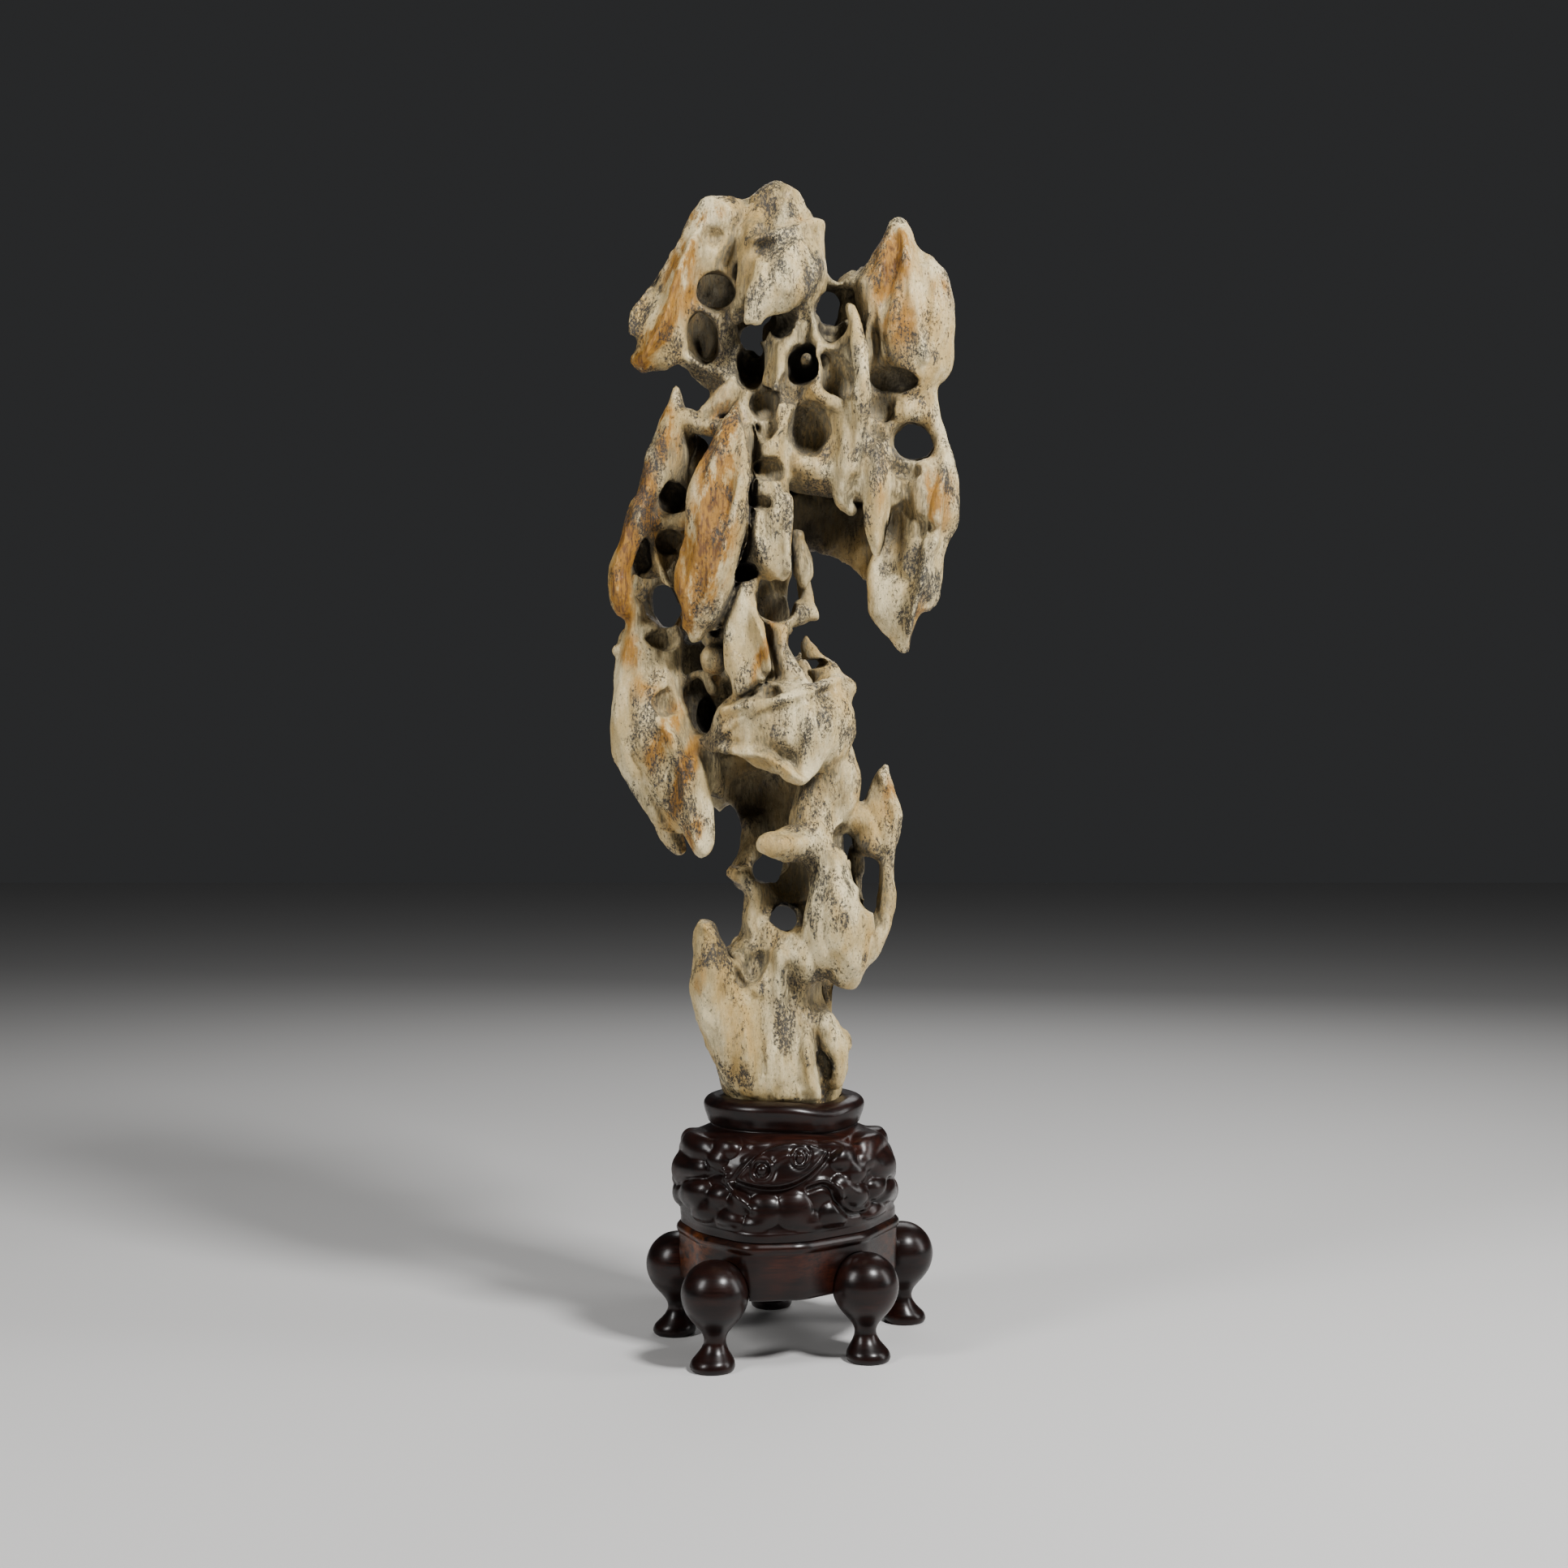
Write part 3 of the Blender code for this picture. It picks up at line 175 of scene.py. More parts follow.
# %% Stations of the limbs: (across, up, depth, half width, half thickness)
LIMBS = {
    "foot": [(0, 128, 2, 34, 29), (0, 148, 1, 34, 29), (-1, 160, 0, 38, 33), (-2, 175, 0, 41, 35),
             (-7, 190, 1, 38, 35), (-14, 205, 2, 37, 34), (-10, 225, 3, 37, 33), (-6, 243, 5, 26, 28)],
    "stump": [(-48, 253, -22, 8, 8), (-48, 247, -23, 9.5, 10), (-46, 238, -24, 11.5, 12),
              (-42, 224, -24, 16, 14), (-39, 208, -22, 17.5, 16), (-33, 188, -18, 17, 18),
              (-26, 165, -12, 14, 19)],
    "flute_left": [(-27, 205, -27, 8, 8), (-24, 180, -27, 9, 9), (-20, 158, -25, 9, 8)],
    "flute_right": [(24, 196, -18, 8, 10), (30, 180, -20, 9, 10), (31, 160, -18, 7, 9)],
    "spur": [(12, 180, -26, 7, 8), (17, 162, -27, 5, 6), (20, 150, -27, 4, 5)],
    "post_left": [(-14, 238, 4, 15, 18), (-19, 252, 0, 9.5, 15), (-18, 265, -2, 8.5, 13),
                  (-17, 275, -4, 8, 12), (-23, 284, -6, 7.5, 10), (-31, 288, -7, 4.5, 6)],
    "rear_post": [(-24, 286, 6, 8, 9), (-21, 300, 12, 7, 10), (-20, 315, 20, 8.5, 11),
                  (-22, 330, 26, 14, 11), (-18, 350, 30, 20, 12)],
    "rear_web": [(-9, 274, 8, 6, 10), (4, 279, 17, 11, 10), (20, 286, 15, 14, 12)],
    "rear_low": [(0, 238, 18, 24, 20), (12, 258, 25, 12, 14), (20, 280, 26, 16, 15),
                 (18, 306, 26, 22, 14), (6, 332, 30, 28, 13)],
    "belly": [(38, 228, -26, 12, 12), (38, 236, -28, 17, 16), (34, 247, -28, 22, 20),
              (33, 258, -27, 22.5, 21), (31, 270, -25, 19, 20), (29, 284, -22, 14, 18),
              (29, 298, -18, 12, 16)],
    "belly_root": [(6, 236, -16, 18, 16), (20, 240, -18, 18, 18), (32, 250, -16, 18, 20)],
    "post_right": [(28, 290, -16, 13, 18), (22, 306, -14, 15, 19), (22, 322, -12, 18, 19),
                   (27, 338, -10, 20, 19), (28, 354, -10, 18, 19), (22, 374, -10, 14, 20)],
    "log": [(26, 306, -14, 12, 13), (12, 307, -25, 11, 13), (-3, 306, -34, 10, 12),
            (-9, 306, -38, 8.5, 10)],
    "knob_low": [(30, 348, -12, 9, 11), (39, 348, -10, 8, 9)],
    "knob_mid": [(22, 368, -12, 9, 11), (29, 371, -10, 4.5, 7)],
    "fin_top": [(63, 353, 0, 3, 4), (62, 345, 0, 8, 7), (61, 334, 0, 12, 9), (59, 320, -1, 14.5, 11),
                (56, 307, -2, 14.5, 11)],
    "fin_root": [(30, 326, -6, 12, 14), (44, 322, -3, 12, 11), (56, 318, -2, 14, 10)],
    "fin_outer": [(65, 310, -2, 7, 9), (63.5, 290, -3, 5.5, 8), (63.5, 272, -5, 5.2, 8),
                  (60, 257, -9, 7, 10), (52, 244, -11, 9, 12), (44, 234, -10, 9, 12)],
    "fin_inner": [(46, 302, 8, 4.5, 7), (47, 286, 11, 3.4, 7), (50, 264, 8, 4, 7), (46, 250, 2, 8, 8)],
    "plate": [(-44, 370, -24, 6, 9), (-32, 377, -30, 17, 14), (-12, 379, -35, 26.5, 18),
              (6, 378, -33, 30, 22), (20, 380, -25, 27, 22), (30, 394, -15, 16, 16), (38, 401, -10, 8, 9)],
    "plate_lip": [(14, 372, -36, 12, 14), (12, 358, -40, 11, 11), (11, 350, -40, 7, 8)],
    "plate_rim": [(-46, 366, -28, 2.6, 4), (-37, 365, -38, 3, 5), (-22, 363, -46, 3, 5),
                  (-8, 359, -50, 3, 5), (2, 351, -52, 3, 5), (11, 345, -50, 3, 5), (19, 352, -44, 3, 5),
                  (28, 368, -38, 3, 5)],
    "plate_ridge": [(-38, 388, -42, 3, 4), (-22, 392, -50, 3, 4), (-2, 396, -52, 3, 4),
                    (18, 402, -42, 3, 4), (36, 408, -16, 2.5, 4)],
    "plate_corner": [(24, 402, -14, 7, 10), (37, 408, -9, 2.5, 4)],
    "plate_bridge": [(-56, 369, -20, 7, 8), (-45, 370, -24, 6, 7), (-34, 373, -28, 9, 9)],
    "wing": [(-80, 432, -10, 21, 14), (-84, 412, -13, 22, 17), (-84, 395, -16, 23, 20),
             (-82, 378, -18, 26, 22), (-77, 360, -20, 27, 21), (-71, 342, -20, 22, 17),
             (-65, 328, -20, 20, 14)],
    "wing_front": [(-64, 348, -27, 16, 14), (-59, 332, -28, 15, 12), (-52, 316, -30, 10.5, 10),
                   (-50, 303, -31, 6, 7)],
    "wing_rear": [(-78, 345, -10, 15, 14), (-74, 328, -8, 12, 12), (-71, 314, -6, 9, 9),
                  (-65, 303, -5, 4, 5)],
    "wing_ridge": [(-76, 378, -38, 5, 5), (-68, 362, -38, 6, 5), (-61, 342, -37, 6, 5),
                   (-56, 318, -37, 5, 4)],
    "wing_flap": [(-46, 362, -16, 7, 9), (-45, 348, -14, 7, 9), (-41, 338, -12, 5, 7),
                  (-38, 335, -11, 2.5, 4)],
    "wing_boss": [(-94, 425, -14, 5, 6), (-101, 425, -14, 3.6, 4)],
    "rear_wall_low": [(-70, 376, 14, 22, 14), (-44, 368, 26, 28, 13), (-16, 356, 32, 34, 13),
                      (10, 350, 26, 32, 15), (26, 350, 12, 24, 14)],
    "rear_wall_mid": [(-78, 414, 12, 18, 12), (-52, 408, 24, 26, 12), (-24, 402, 28, 32, 14),
                      (2, 396, 22, 30, 16)],
    "left_neck": [(-94, 452, -14, 8, 12), (-92, 440, -12, 6.5, 11), (-92, 426, -12, 10, 13)],
    "left_limb": [(-66, 587, -16, 2.8, 4), (-67, 575, -16, 6, 6), (-69, 563, -17, 9.5, 9),
                  (-71, 549, -18, 13, 11), (-76, 535, -19, 13, 12), (-83, 520, -20, 9, 12),
                  (-89, 505, -20, 9, 12), (-95, 490, -20, 8, 12), (-101, 475, -20, 8.7, 12),
                  (-100.5, 462, -21, 9.8, 12), (-99, 453, -21, 9, 9)],
    "left_floor": [(-66, 556, -9, 12, 8), (-70, 535, -10, 17, 9), (-74, 512, -10, 18, 9),
                   (-80, 492, -10, 17, 9), (-85, 477, -10, 13, 8)],
    "left_rear": [(-60, 545, 14, 16, 13), (-72, 508, 20, 18, 14), (-80, 470, 22, 17, 13),
                  (-78, 436, 18, 18, 14), (-80, 400, 14, 18, 14)],
    "strut_high": [(-86, 507, -20, 5, 8), (-72, 504, -18, 4.5, 8), (-58, 507, -26, 6, 8)],
    "strut_low": [(-80, 497, -16, 3, 7), (-78, 482, -16, 3.4, 7), (-73, 468, -22, 3.5, 7),
                  (-66, 456, -30, 5, 8)],
    "blade": [(-29.5, 575, -38, 2.5, 4), (-31, 563, -42, 8, 8), (-34.5, 548, -45, 14, 11),
              (-38, 530, -47, 18, 12), (-41, 510, -48, 20, 12), (-44.5, 490, -47, 19.5, 12),
              (-49.5, 470, -45, 19.5, 12), (-53, 455, -42, 16.5, 11), (-54.5, 443, -39, 11.5, 9),
              (-54.5, 435, -37, 6, 7)],
    "blade_crest": [(-27, 562, -50, 3.5, 4), (-26, 545, -54, 4, 5), (-27, 522, -57, 4.5, 5),
                    (-34, 498, -57, 4.5, 5), (-43, 475, -54, 4.5, 5), (-51, 455, -47, 4, 5)],
    "blade_root": [(-24, 548, -16, 15, 18), (-24, 515, -16, 17, 18), (-26, 485, -14, 17, 18),
                   (-32, 455, -14, 15, 18), (-40, 436, -12, 12, 15)],
    "saddle_left": [(-62, 567, -18, 7, 8), (-48, 562, -24, 5, 7), (-36, 563, -32, 6, 8)],
    "toe": [(-30, 588, -22, 7, 8), (-38, 579, -24, 6.5, 7), (-47, 571, -25, 4, 5), (-51, 568, -25, 2, 3)],
    "rear_high": [(-10, 565, 26, 26, 17), (-18, 532, 32, 25, 17), (-22, 500, 32, 24, 16),
                  (-20, 470, 30, 22, 16), (-16, 440, 28, 22, 16), (-12, 412, 26, 24, 17)],
    "tongue": [(-30, 462, -30, 10, 9), (-26, 452, -34, 12, 10), (-24, 440, -38, 13, 9),
               (-23, 426, -41, 15, 9), (-24, 412, -42, 13.5, 8.5), (-27, 401, -42, 7, 6.5)],
    "tongue_edge": [(-20, 450, -44, 3, 4), (-15, 436, -48, 3, 4), (-11, 424, -49, 3, 4),
                    (-10, 414, -46, 2.5, 4)],
    "stem_mid": [(-6, 447, -20, 12, 13), (-3, 434, -21, 7, 11), (-1, 421, -22, 6.5, 11),
                 (3, 407, -24, 9, 13), (6, 396, -24, 12, 14)],
    "prong": [(2, 446, -16, 8, 9), (11, 449, -14, 8.5, 8), (17, 447, -13, 5.5, 6), (20, 445, -13, 2.2, 3)],
    "prong_top": [(12, 474, -2, 5, 8), (13, 460, -6, 4.5, 7), (14, 450, -10, 6, 7)],
    "leaf": [(14, 434, -4, 3.5, 4), (15, 426, -4, 6.5, 5.5), (20, 415, -5, 9, 7), (28, 405, -7, 10, 10)],
    "drop": [(8, 492, -12, 5, 8), (11, 482, -16, 6, 7), (12, 472, -18, 6.8, 7), (12, 467, -18, 5, 5)],
    "pendant": [(-10, 548, -20, 14, 16), (-10, 528, -26, 14, 14), (-10, 510, -31, 14.5, 13),
                (-9.5, 494, -33, 15, 12), (-8, 481, -33, 13.5, 10), (-4, 473, -33, 9, 7)],
    "pendant_edge": [(2, 520, -36, 2.5, 4), (3, 505, -40, 2.5, 4), (2, 488, -41, 2.5, 4),
                     (2, 474, -38, 2.5, 4)],
    "pendant_ridge": [(-16, 530, -36, 3, 4), (-18, 510, -42, 3, 4), (-16, 492, -43, 3, 4),
                      (-10, 478, -40, 3, 4)],
    "pendant_hook": [(-3, 512, -36, 3, 5), (-4, 522, -37, 2.6, 4), (-6, 527, -38, 1.8, 3)],
    "ledge_mid": [(-16, 556, -24, 10, 9), (-4, 560, -26, 9, 9), (4, 570, -27, 5, 7), (3, 574, -27, 3, 5)],
    "core_low": [(6, 538, -10, 12, 20), (20, 536, -12, 16, 20), (38, 534, -12, 16, 20),
                 (56, 536, -10, 14, 18)],
    "core": [(4, 600, -4, 20, 22), (8, 582, -6, 28, 24), (14, 562, -8, 32, 24), (20, 545, -9, 32, 22)],
    "core_left": [(-24, 600, -2, 24, 18), (-22, 584, -4, 24, 19), (-20, 566, -6, 24, 19),
                  (-16, 548, -6, 20, 18)],
    "core_right": [(38, 606, -6, 16, 20), (38, 588, -8, 18, 22), (40, 566, -10, 18, 22),
                   (42, 545, -11, 18, 20)],
    "pillar": [(38, 576, -24, 7, 8), (38, 558, -28, 8, 9), (38, 540, -29, 8.5, 10),
               (36.5, 525, -27, 8, 9), (37, 516, -26, 6, 7), (42, 512, -26, 4, 6)],
    "fang": [(53, 560, -22, 7, 9), (56, 543, -28, 8.5, 10), (57, 524, -31, 8, 9), (57, 506, -32, 7, 8),
             (57.5, 494, -32, 5.2, 6), (57.5, 486, -32, 2.6, 4)],
    "fang_cheek": [(56, 566, -18, 7, 9), (60, 552, -20, 6, 9), (64, 538, -22, 5, 9),
                   (66, 520, -22, 6, 10)],
    "rib": [(40, 637, -30, 3.4, 4), (44.5, 629, -34, 5.2, 6), (46.5, 612, -37, 5.4, 7),
            (48, 595, -38, 5.0, 8), (48, 580, -37, 4.8, 8), (46, 560, -36, 4.8, 7), (43, 535, -34, 4, 5)],
    "cup_back": [(43, 652, 6, 7, 10), (45, 640, 9, 8, 10), (46, 625, 7, 8, 12), (46, 612, 4, 8, 12)],
    "core_lip": [(-2, 610, -24, 3, 5), (-1, 596, -27, 3, 5), (-5, 582, -27, 3, 5), (-2, 572, -28, 3, 5)],
    "pit_wall_mid": [(20, 608, -26, 3, 5), (22, 597, -29, 2.6, 5), (20, 587, -30, 2.8, 5),
                     (26, 580, -30, 2.8, 5), (34, 575, -30, 3, 5)],
    "tooth_mid": [(16, 587, -30, 2.2, 4), (20, 584, -32, 3, 4), (27, 578, -31, 3, 5)],
    "cup_rim": [(18, 632, -20, 4, 7), (20, 618, -22, 4.5, 7), (28, 611, -23, 4.5, 7),
                (38, 616, -23, 4, 7), (43, 628, -22, 4, 7)],
    "saddle": [(20, 656, -6, 9, 14), (30, 650, -3, 4.2, 10), (38, 650, -3, 3.6, 10), (50, 654, -4, 9, 12)],
    "neck": [(0, 602, -6, 16, 20), (5, 622, -8, 13, 20), (6, 644, -9, 14, 22), (6, 664, -9, 18, 23),
             (2, 682, -7, 19, 20), (-3, 696, -5, 15.5, 16), (-4, 702, -4, 12, 12)],
    "nose": [(6, 676, -28, 17, 12), (2, 660, -36, 22, 13), (-5, 649, -40, 18, 13),
             (-15, 638, -42, 11.5, 10), (-20, 630, -43, 6.5, 7)],
    "nose_rim": [(22, 686, -18, 5, 7), (21, 670, -22, 5, 8), (20, 652, -22, 5.5, 9), (14, 636, -22, 6, 9)],
    "nose_web": [(-20, 684, -18, 9, 9), (-22, 670, -26, 8, 10), (-23, 656, -29, 7.5, 10),
                 (-26, 644, -28, 6, 9), (-29, 633, -20, 5, 8)],
    "brow": [(-28, 668, -28, 3, 4), (-17, 678, -34, 4, 5), (-4, 681, -38, 4.5, 5), (10, 686, -33, 4.5, 6),
             (22, 688, -22, 4.5, 6)],
    "shoulder": [(-4, 692, -4, 18, 16), (-20, 688, -6, 15, 14), (-34, 692, -9, 15, 13),
                 (-45, 686, -12, 17, 13), (-55, 672, -15, 13, 12)],
    "wing_high": [(-50, 680, -14, 14, 12), (-58, 667, -16, 12.5, 12), (-65, 654, -18, 12.5, 12),
                  (-72, 640, -20, 16, 12), (-77, 625, -21, 19.5, 13), (-78, 612, -21, 18, 12),
                  (-86, 604, -21, 9, 8)],
    "wing_high_ridge": [(-57, 676, -26, 4, 4), (-66, 655, -30, 4.5, 4), (-71, 635, -34, 4.5, 4),
                        (-82, 612, -33, 5, 4), (-88, 604, -29, 4, 4)],
    "sill_left": [(-64, 606, -16, 6, 9), (-50, 600, -12, 7, 12), (-40, 596, -10, 9, 14)],
    "bar_left": [(-58, 634, -18, 5, 9), (-46, 634, -14, 4.5, 8), (-32, 637, -8, 6, 9)],
    "inner_post": [(-30, 652, -6, 7, 12), (-34, 634, -6, 5.5, 11), (-36, 618, -6, 4.3, 10),
                   (-33, 602, -6, 7, 12)],
    "rear_crown": [(-6, 690, 12, 16, 15), (-22, 674, 20, 22, 13), (-36, 652, 25, 24, 12),
                   (-44, 624, 26, 22, 12), (-36, 600, 22, 22, 14)],
    "rear_neck": [(6, 676, 16, 18, 15), (9, 642, 22, 13, 13), (10, 612, 24, 22, 15),
                  (12, 585, 28, 32, 18), (12, 556, 30, 30, 18)],
    "horn": [(70.5, 686, -8, 7, 8), (70, 678, -9, 10.5, 10), (70, 668, -10, 17, 13),
             (71, 656, -11, 25.5, 16), (78, 640, -12, 28, 18), (78.5, 620, -12, 28, 19),
             (77, 604, -11, 26.5, 18), (74, 592, -9, 22, 15)],
    "horn_ridge": [(73, 684, -15, 3, 4), (76, 668, -23, 4, 5), (79, 648, -29, 4, 5),
                   (83, 625, -31, 4.5, 5), (86, 606, -27, 4, 5)],
    "horn_cheek": [(88, 662, -8, 7, 10), (96, 648, -9, 6, 10), (99, 630, -12, 7, 12)],
    "horn_inner": [(52, 650, -12, 9, 12), (56, 630, -12, 9, 14), (56, 608, -10, 9, 14)],
    "rear_horn": [(68, 655, 10, 20, 14), (76, 628, 16, 25, 16), (68, 600, 14, 22, 15),
                  (48, 578, 14, 22, 16)],
    "shelf_right": [(48, 574, -10, 10, 14), (64, 571, -8, 11, 13), (80, 573, -7, 11, 12),
                    (90, 570, -7, 6, 9)],
    "ring_right": [(89, 586, -8, 7, 10), (91, 570, -8, 6, 9), (96, 556, -8, 5, 9),
                   (98, 543, -10, 7.5, 11), (96, 532, -11, 12, 13)],
    "ring_left": [(64, 566, -8, 6, 10), (62.5, 553, -9, 4.8, 10), (66, 540, -11, 8, 12)],
    "right_ridge": [(99, 548, -18, 3, 4), (97, 528, -27, 3.5, 5), (93, 505, -30, 3.5, 5),
                    (88, 480, -29, 3.5, 5), (81, 455, -26, 3, 5), (76, 432, -18, 2.5, 4)],
    "crescent": [(-61, 405, -10, 3, 6), (-55, 411, -12, 3, 6), (-48, 409, -14, 3, 6),
                 (-43, 400, -16, 3, 6)],
    "hip": [(70, 534, -10, 10, 13), (84, 530, -11, 13, 14), (96, 526, -11, 14, 14)],
    "right_low": [(88, 528, -10, 22, 16), (88, 512, -11, 22.5, 17), (83, 497, -11, 19, 17),
                  (77, 480, -11, 24, 16), (73.5, 463, -11, 23, 14), (70, 449, -11, 17, 12),
                  (72, 436, -11, 10, 9), (74.5, 427, -11, 4, 5)],
    "rear_sweep": [(82, 492, 0, 28, 15), (64, 494, 8, 30, 12), (47, 498, 16, 26, 11),
                   (31, 504, 23, 20, 11), (14, 508, 27, 18, 12), (-2, 506, 28, 18, 13)],
    "rear_hip": [(86, 522, 8, 22, 14), (64, 532, 14, 20, 15), (40, 542, 20, 20, 16),
                 (20, 547, 24, 26, 16)],
    "sheet_high": [(-40, 692, -8, 17, 13), (-41, 672, -11, 18, 12), (-43, 650, -12, 18, 10),
                   (-46, 628, -12, 18, 10), (-46, 608, -11, 18, 11), (-40, 598, -9, 14, 12)],
    "tongue_top": [(-44, 446, -34, 8, 8), (-34, 456, -36, 10, 9), (-22, 466, -32, 8, 9)],
    "plate_cheek": [(-22, 398, -32, 9, 12), (-34, 384, -34, 8, 10), (-38, 372, -30, 6, 9)],
    "fang_web": [(46, 560, -20, 9, 12), (47, 540, -22, 9, 12), (48, 524, -22, 8, 11)],
    "rear_blade": [(26, 612, 38, 3, 4), (22, 595, 43, 9, 8), (14, 570, 46, 14, 10), (4, 545, 47, 16, 11),
                   (-6, 520, 46, 15, 10), (-14, 495, 43, 12, 9), (-18, 478, 40, 6, 6)],
    "rear_fin": [(-62, 560, 18, 3, 4), (-66, 540, 24, 9, 9), (-74, 512, 29, 13, 10),
                 (-82, 485, 30, 12, 10), (-85, 462, 27, 7, 8)],
    "rear_wing": [(-74, 432, 20, 13, 10), (-78, 408, 27, 18, 11), (-74, 382, 30, 19, 11),
                  (-64, 356, 30, 14, 10), (-52, 335, 27, 7, 7)],
    "rear_shelf": [(-34, 396, 36, 8, 9), (-10, 386, 43, 16, 11), (14, 377, 40, 14, 11),
                   (32, 372, 26, 9, 9)],
    "rear_belly": [(28, 332, 30, 8, 8), (23, 313, 37, 15, 11), (14, 292, 39, 17, 12),
                   (6, 270, 37, 13, 11), (2, 252, 33, 8, 9)],
    "rear_heel": [(20, 232, 26, 12, 10), (16, 208, 30, 15, 10), (11, 182, 30, 14, 10),
                  (7, 160, 26, 10, 8)],
    "rear_heel_left": [(-28, 244, 22, 7, 8), (-30, 222, 27, 12, 10), (-26, 196, 30, 12, 10),
                       (-20, 170, 27, 10, 9)],
    "rear_horn_blade": [(70, 674, 10, 4, 5), (74, 656, 20, 10, 9), (80, 632, 28, 13, 10),
                        (81, 608, 26, 10, 9), (75, 590, 20, 5, 6)],
    "rear_lobe": [(94, 545, 8, 6, 7), (89, 525, 18, 12, 10), (81, 500, 23, 14, 11), (71, 478, 20, 11, 9),
                  (65, 462, 12, 5, 6)],
    "rear_crown_blade": [(0, 701, 16, 6, 7), (-8, 682, 27, 11, 9), (-19, 661, 34, 12, 9),
                         (-29, 641, 37, 10, 8), (-36, 624, 35, 5, 6)],
    "crown_knob": [(-19, 700, -4, 6, 9), (-9, 703, -5, 10, 13), (2, 702, -5, 10, 13), (6, 699, -4, 8, 10)],
    "cup_wall": [(16, 622, -4, 10, 14), (28, 614, -4, 12, 14), (42, 620, -6, 10, 14)],
    "cup_side": [(38, 652, 6, 5, 10), (37.5, 638, 8, 5, 10), (40, 622, 6, 7, 12)],
    "ledge_right": [(26, 184, -2, 9, 22), (35, 184, -3, 6.5, 17), (38, 183, -3, 4.5, 12)],
}
print("limbs:", len(LIMBS))

# %% Lofting one limb
RING_SIDES = 20
PATH_STEPS = 5
KEEL = 1.2                    # above 1 an oval section is drawn in towards a keel
CAP_TURNS = (25, 50, 72)      # degrees round the rounded end at which a cap has a ring


def spline(points, steps):
    """A smooth run through the points, with this many steps between neighbours."""
    padded = [points[0], *points, points[-1]]
    run = []
    for index in range(len(points) - 1):
        before, here, after, beyond = padded[index:index + 4]
        for step in range(steps):
            t = step / steps
            run.append(tuple(
                0.5 * (2 * b + (c - a) * t + (2 * a - 5 * b + 4 * c - d) * t * t
                       + (3 * b - a - 3 * c + d) * t * t * t)
                for a, b, c, d in zip(before, here, after, beyond)))
    run.append(tuple(points[-1]))
    return run


def section_corner(angle, wide, deep):
    across = math.copysign(abs(math.cos(angle)) ** KEEL, math.cos(angle))
    out = math.copysign(abs(math.sin(angle)) ** KEEL, math.sin(angle))
    return wide * across, deep * out


def limb_sections(stations):
    """Centre, direction and half sizes of each ring, with the rings of two rounded caps."""
    path = spline(stations, PATH_STEPS)
    centres = [sight(x, z, y) for x, z, y, _, _ in path]
    halves = [(wide * (1 + y / EYE_BACK) * MM, deep * MM) for x, z, y, wide, deep in path]
    last = len(path) - 1
    tangents = [(centres[min(index + 1, last)] - centres[max(index - 1, 0)]).normalized()
                for index in range(len(path))]
    sections = list(zip(centres, tangents, halves))
    caps = []
    for sign, index in ((-1, 0), (1, last)):
        reach = min(halves[index]) * sign
        cap = []
        for turn in CAP_TURNS:
            angle = math.radians(turn)
            centre = centres[index] + tangents[index] * reach * math.sin(angle)
            size = tuple(half * math.cos(angle) for half in halves[index])
            cap.append((centre, tangents[index], size))
        caps.append((cap, centres[index] + tangents[index] * reach))
    (first_cap, first_tip), (last_cap, last_tip) = caps
    return first_cap[::-1] + sections + last_cap, first_tip, last_tip


def add_limb(bm, stations):
    """Loft one limb: oval rings along its path, closed with a rounded cap at each end."""
    sections, first_tip, last_tip = limb_sections(stations)
    loops = []
    for centre, tangent, (wide, deep) in sections:
        side = tangent.cross(Vector((0, 1, 0))).normalized()
        out = side.cross(tangent).normalized()
        loop = []
        for corner in range(RING_SIDES):
            across, along = section_corner(2 * math.pi * corner / RING_SIDES, wide, deep)
            loop.append(bm.verts.new(centre + side * across + out * along))
        loops.append(loop)
    for lower, upper in zip(loops, loops[1:]):
        for corner in range(RING_SIDES):
            after = (corner + 1) % RING_SIDES
            bm.faces.new((lower[corner], lower[after], upper[after], upper[corner]))
    for loop, tip in ((loops[0], first_tip), (loops[-1], last_tip)):
        pole = bm.verts.new(tip)
        for corner in range(RING_SIDES):
            bm.faces.new((loop[corner], loop[(corner + 1) % RING_SIDES], pole))


# %% Growing the limbs together
STONE_GRAIN = 1.4
GROWN_WEAR = 9

limbs_bm = bmesh.new()
for stations in LIMBS.values():
    add_limb(limbs_bm, stations)
stone = new_piece("stone_dressed", limbs_bm)
grow_together(stone, STONE_GRAIN)
wear(stone, GROWN_WEAR)
print("the grown limbs have", len(stone.data.polygons), "faces")

# %% [markdown]
# ## The stone: its worn skin
#
# Running water cuts a limestone into shallow cells that meet in crests. A cell pattern (the
# square of the distance to the nearest of a set of scattered points) has just that shape: round
# in the middle and sharp where two cells meet. The skin is pushed along its normals by a large
# cell pattern, a smaller one on top of it, and a slow sway that takes away the last roundness of
# the lofts. It is deeper behind, where the stone is more broken.

# %% Scallops and flutes
SCALLOP_SIZE = 27.0
SCALLOP_DEEP = (3.0, 9.0)     # front, rear
SWAY_SIZE = 60.0
SWAY_DEEP = (0.8, 3.5)
CELLS = ((15.0, 3.0), (7.0, 1.2))   # smaller cells over them: (size, depth)
CELL_TALL = 0.6               # and taller than they are wide
CELL_BEND = 3.0               # how far a slow noise bends them
CELL_BEND_SIZE = 20.0
SCALLOP_MIDDLE = 0.35         # the patterns' means, so that the skin keeps its place
CELL_MIDDLE = 0.3
REAR_FROM = -10.0             # the rear's depths begin here
REAR_FADE = 30.0              # and are full this much further back


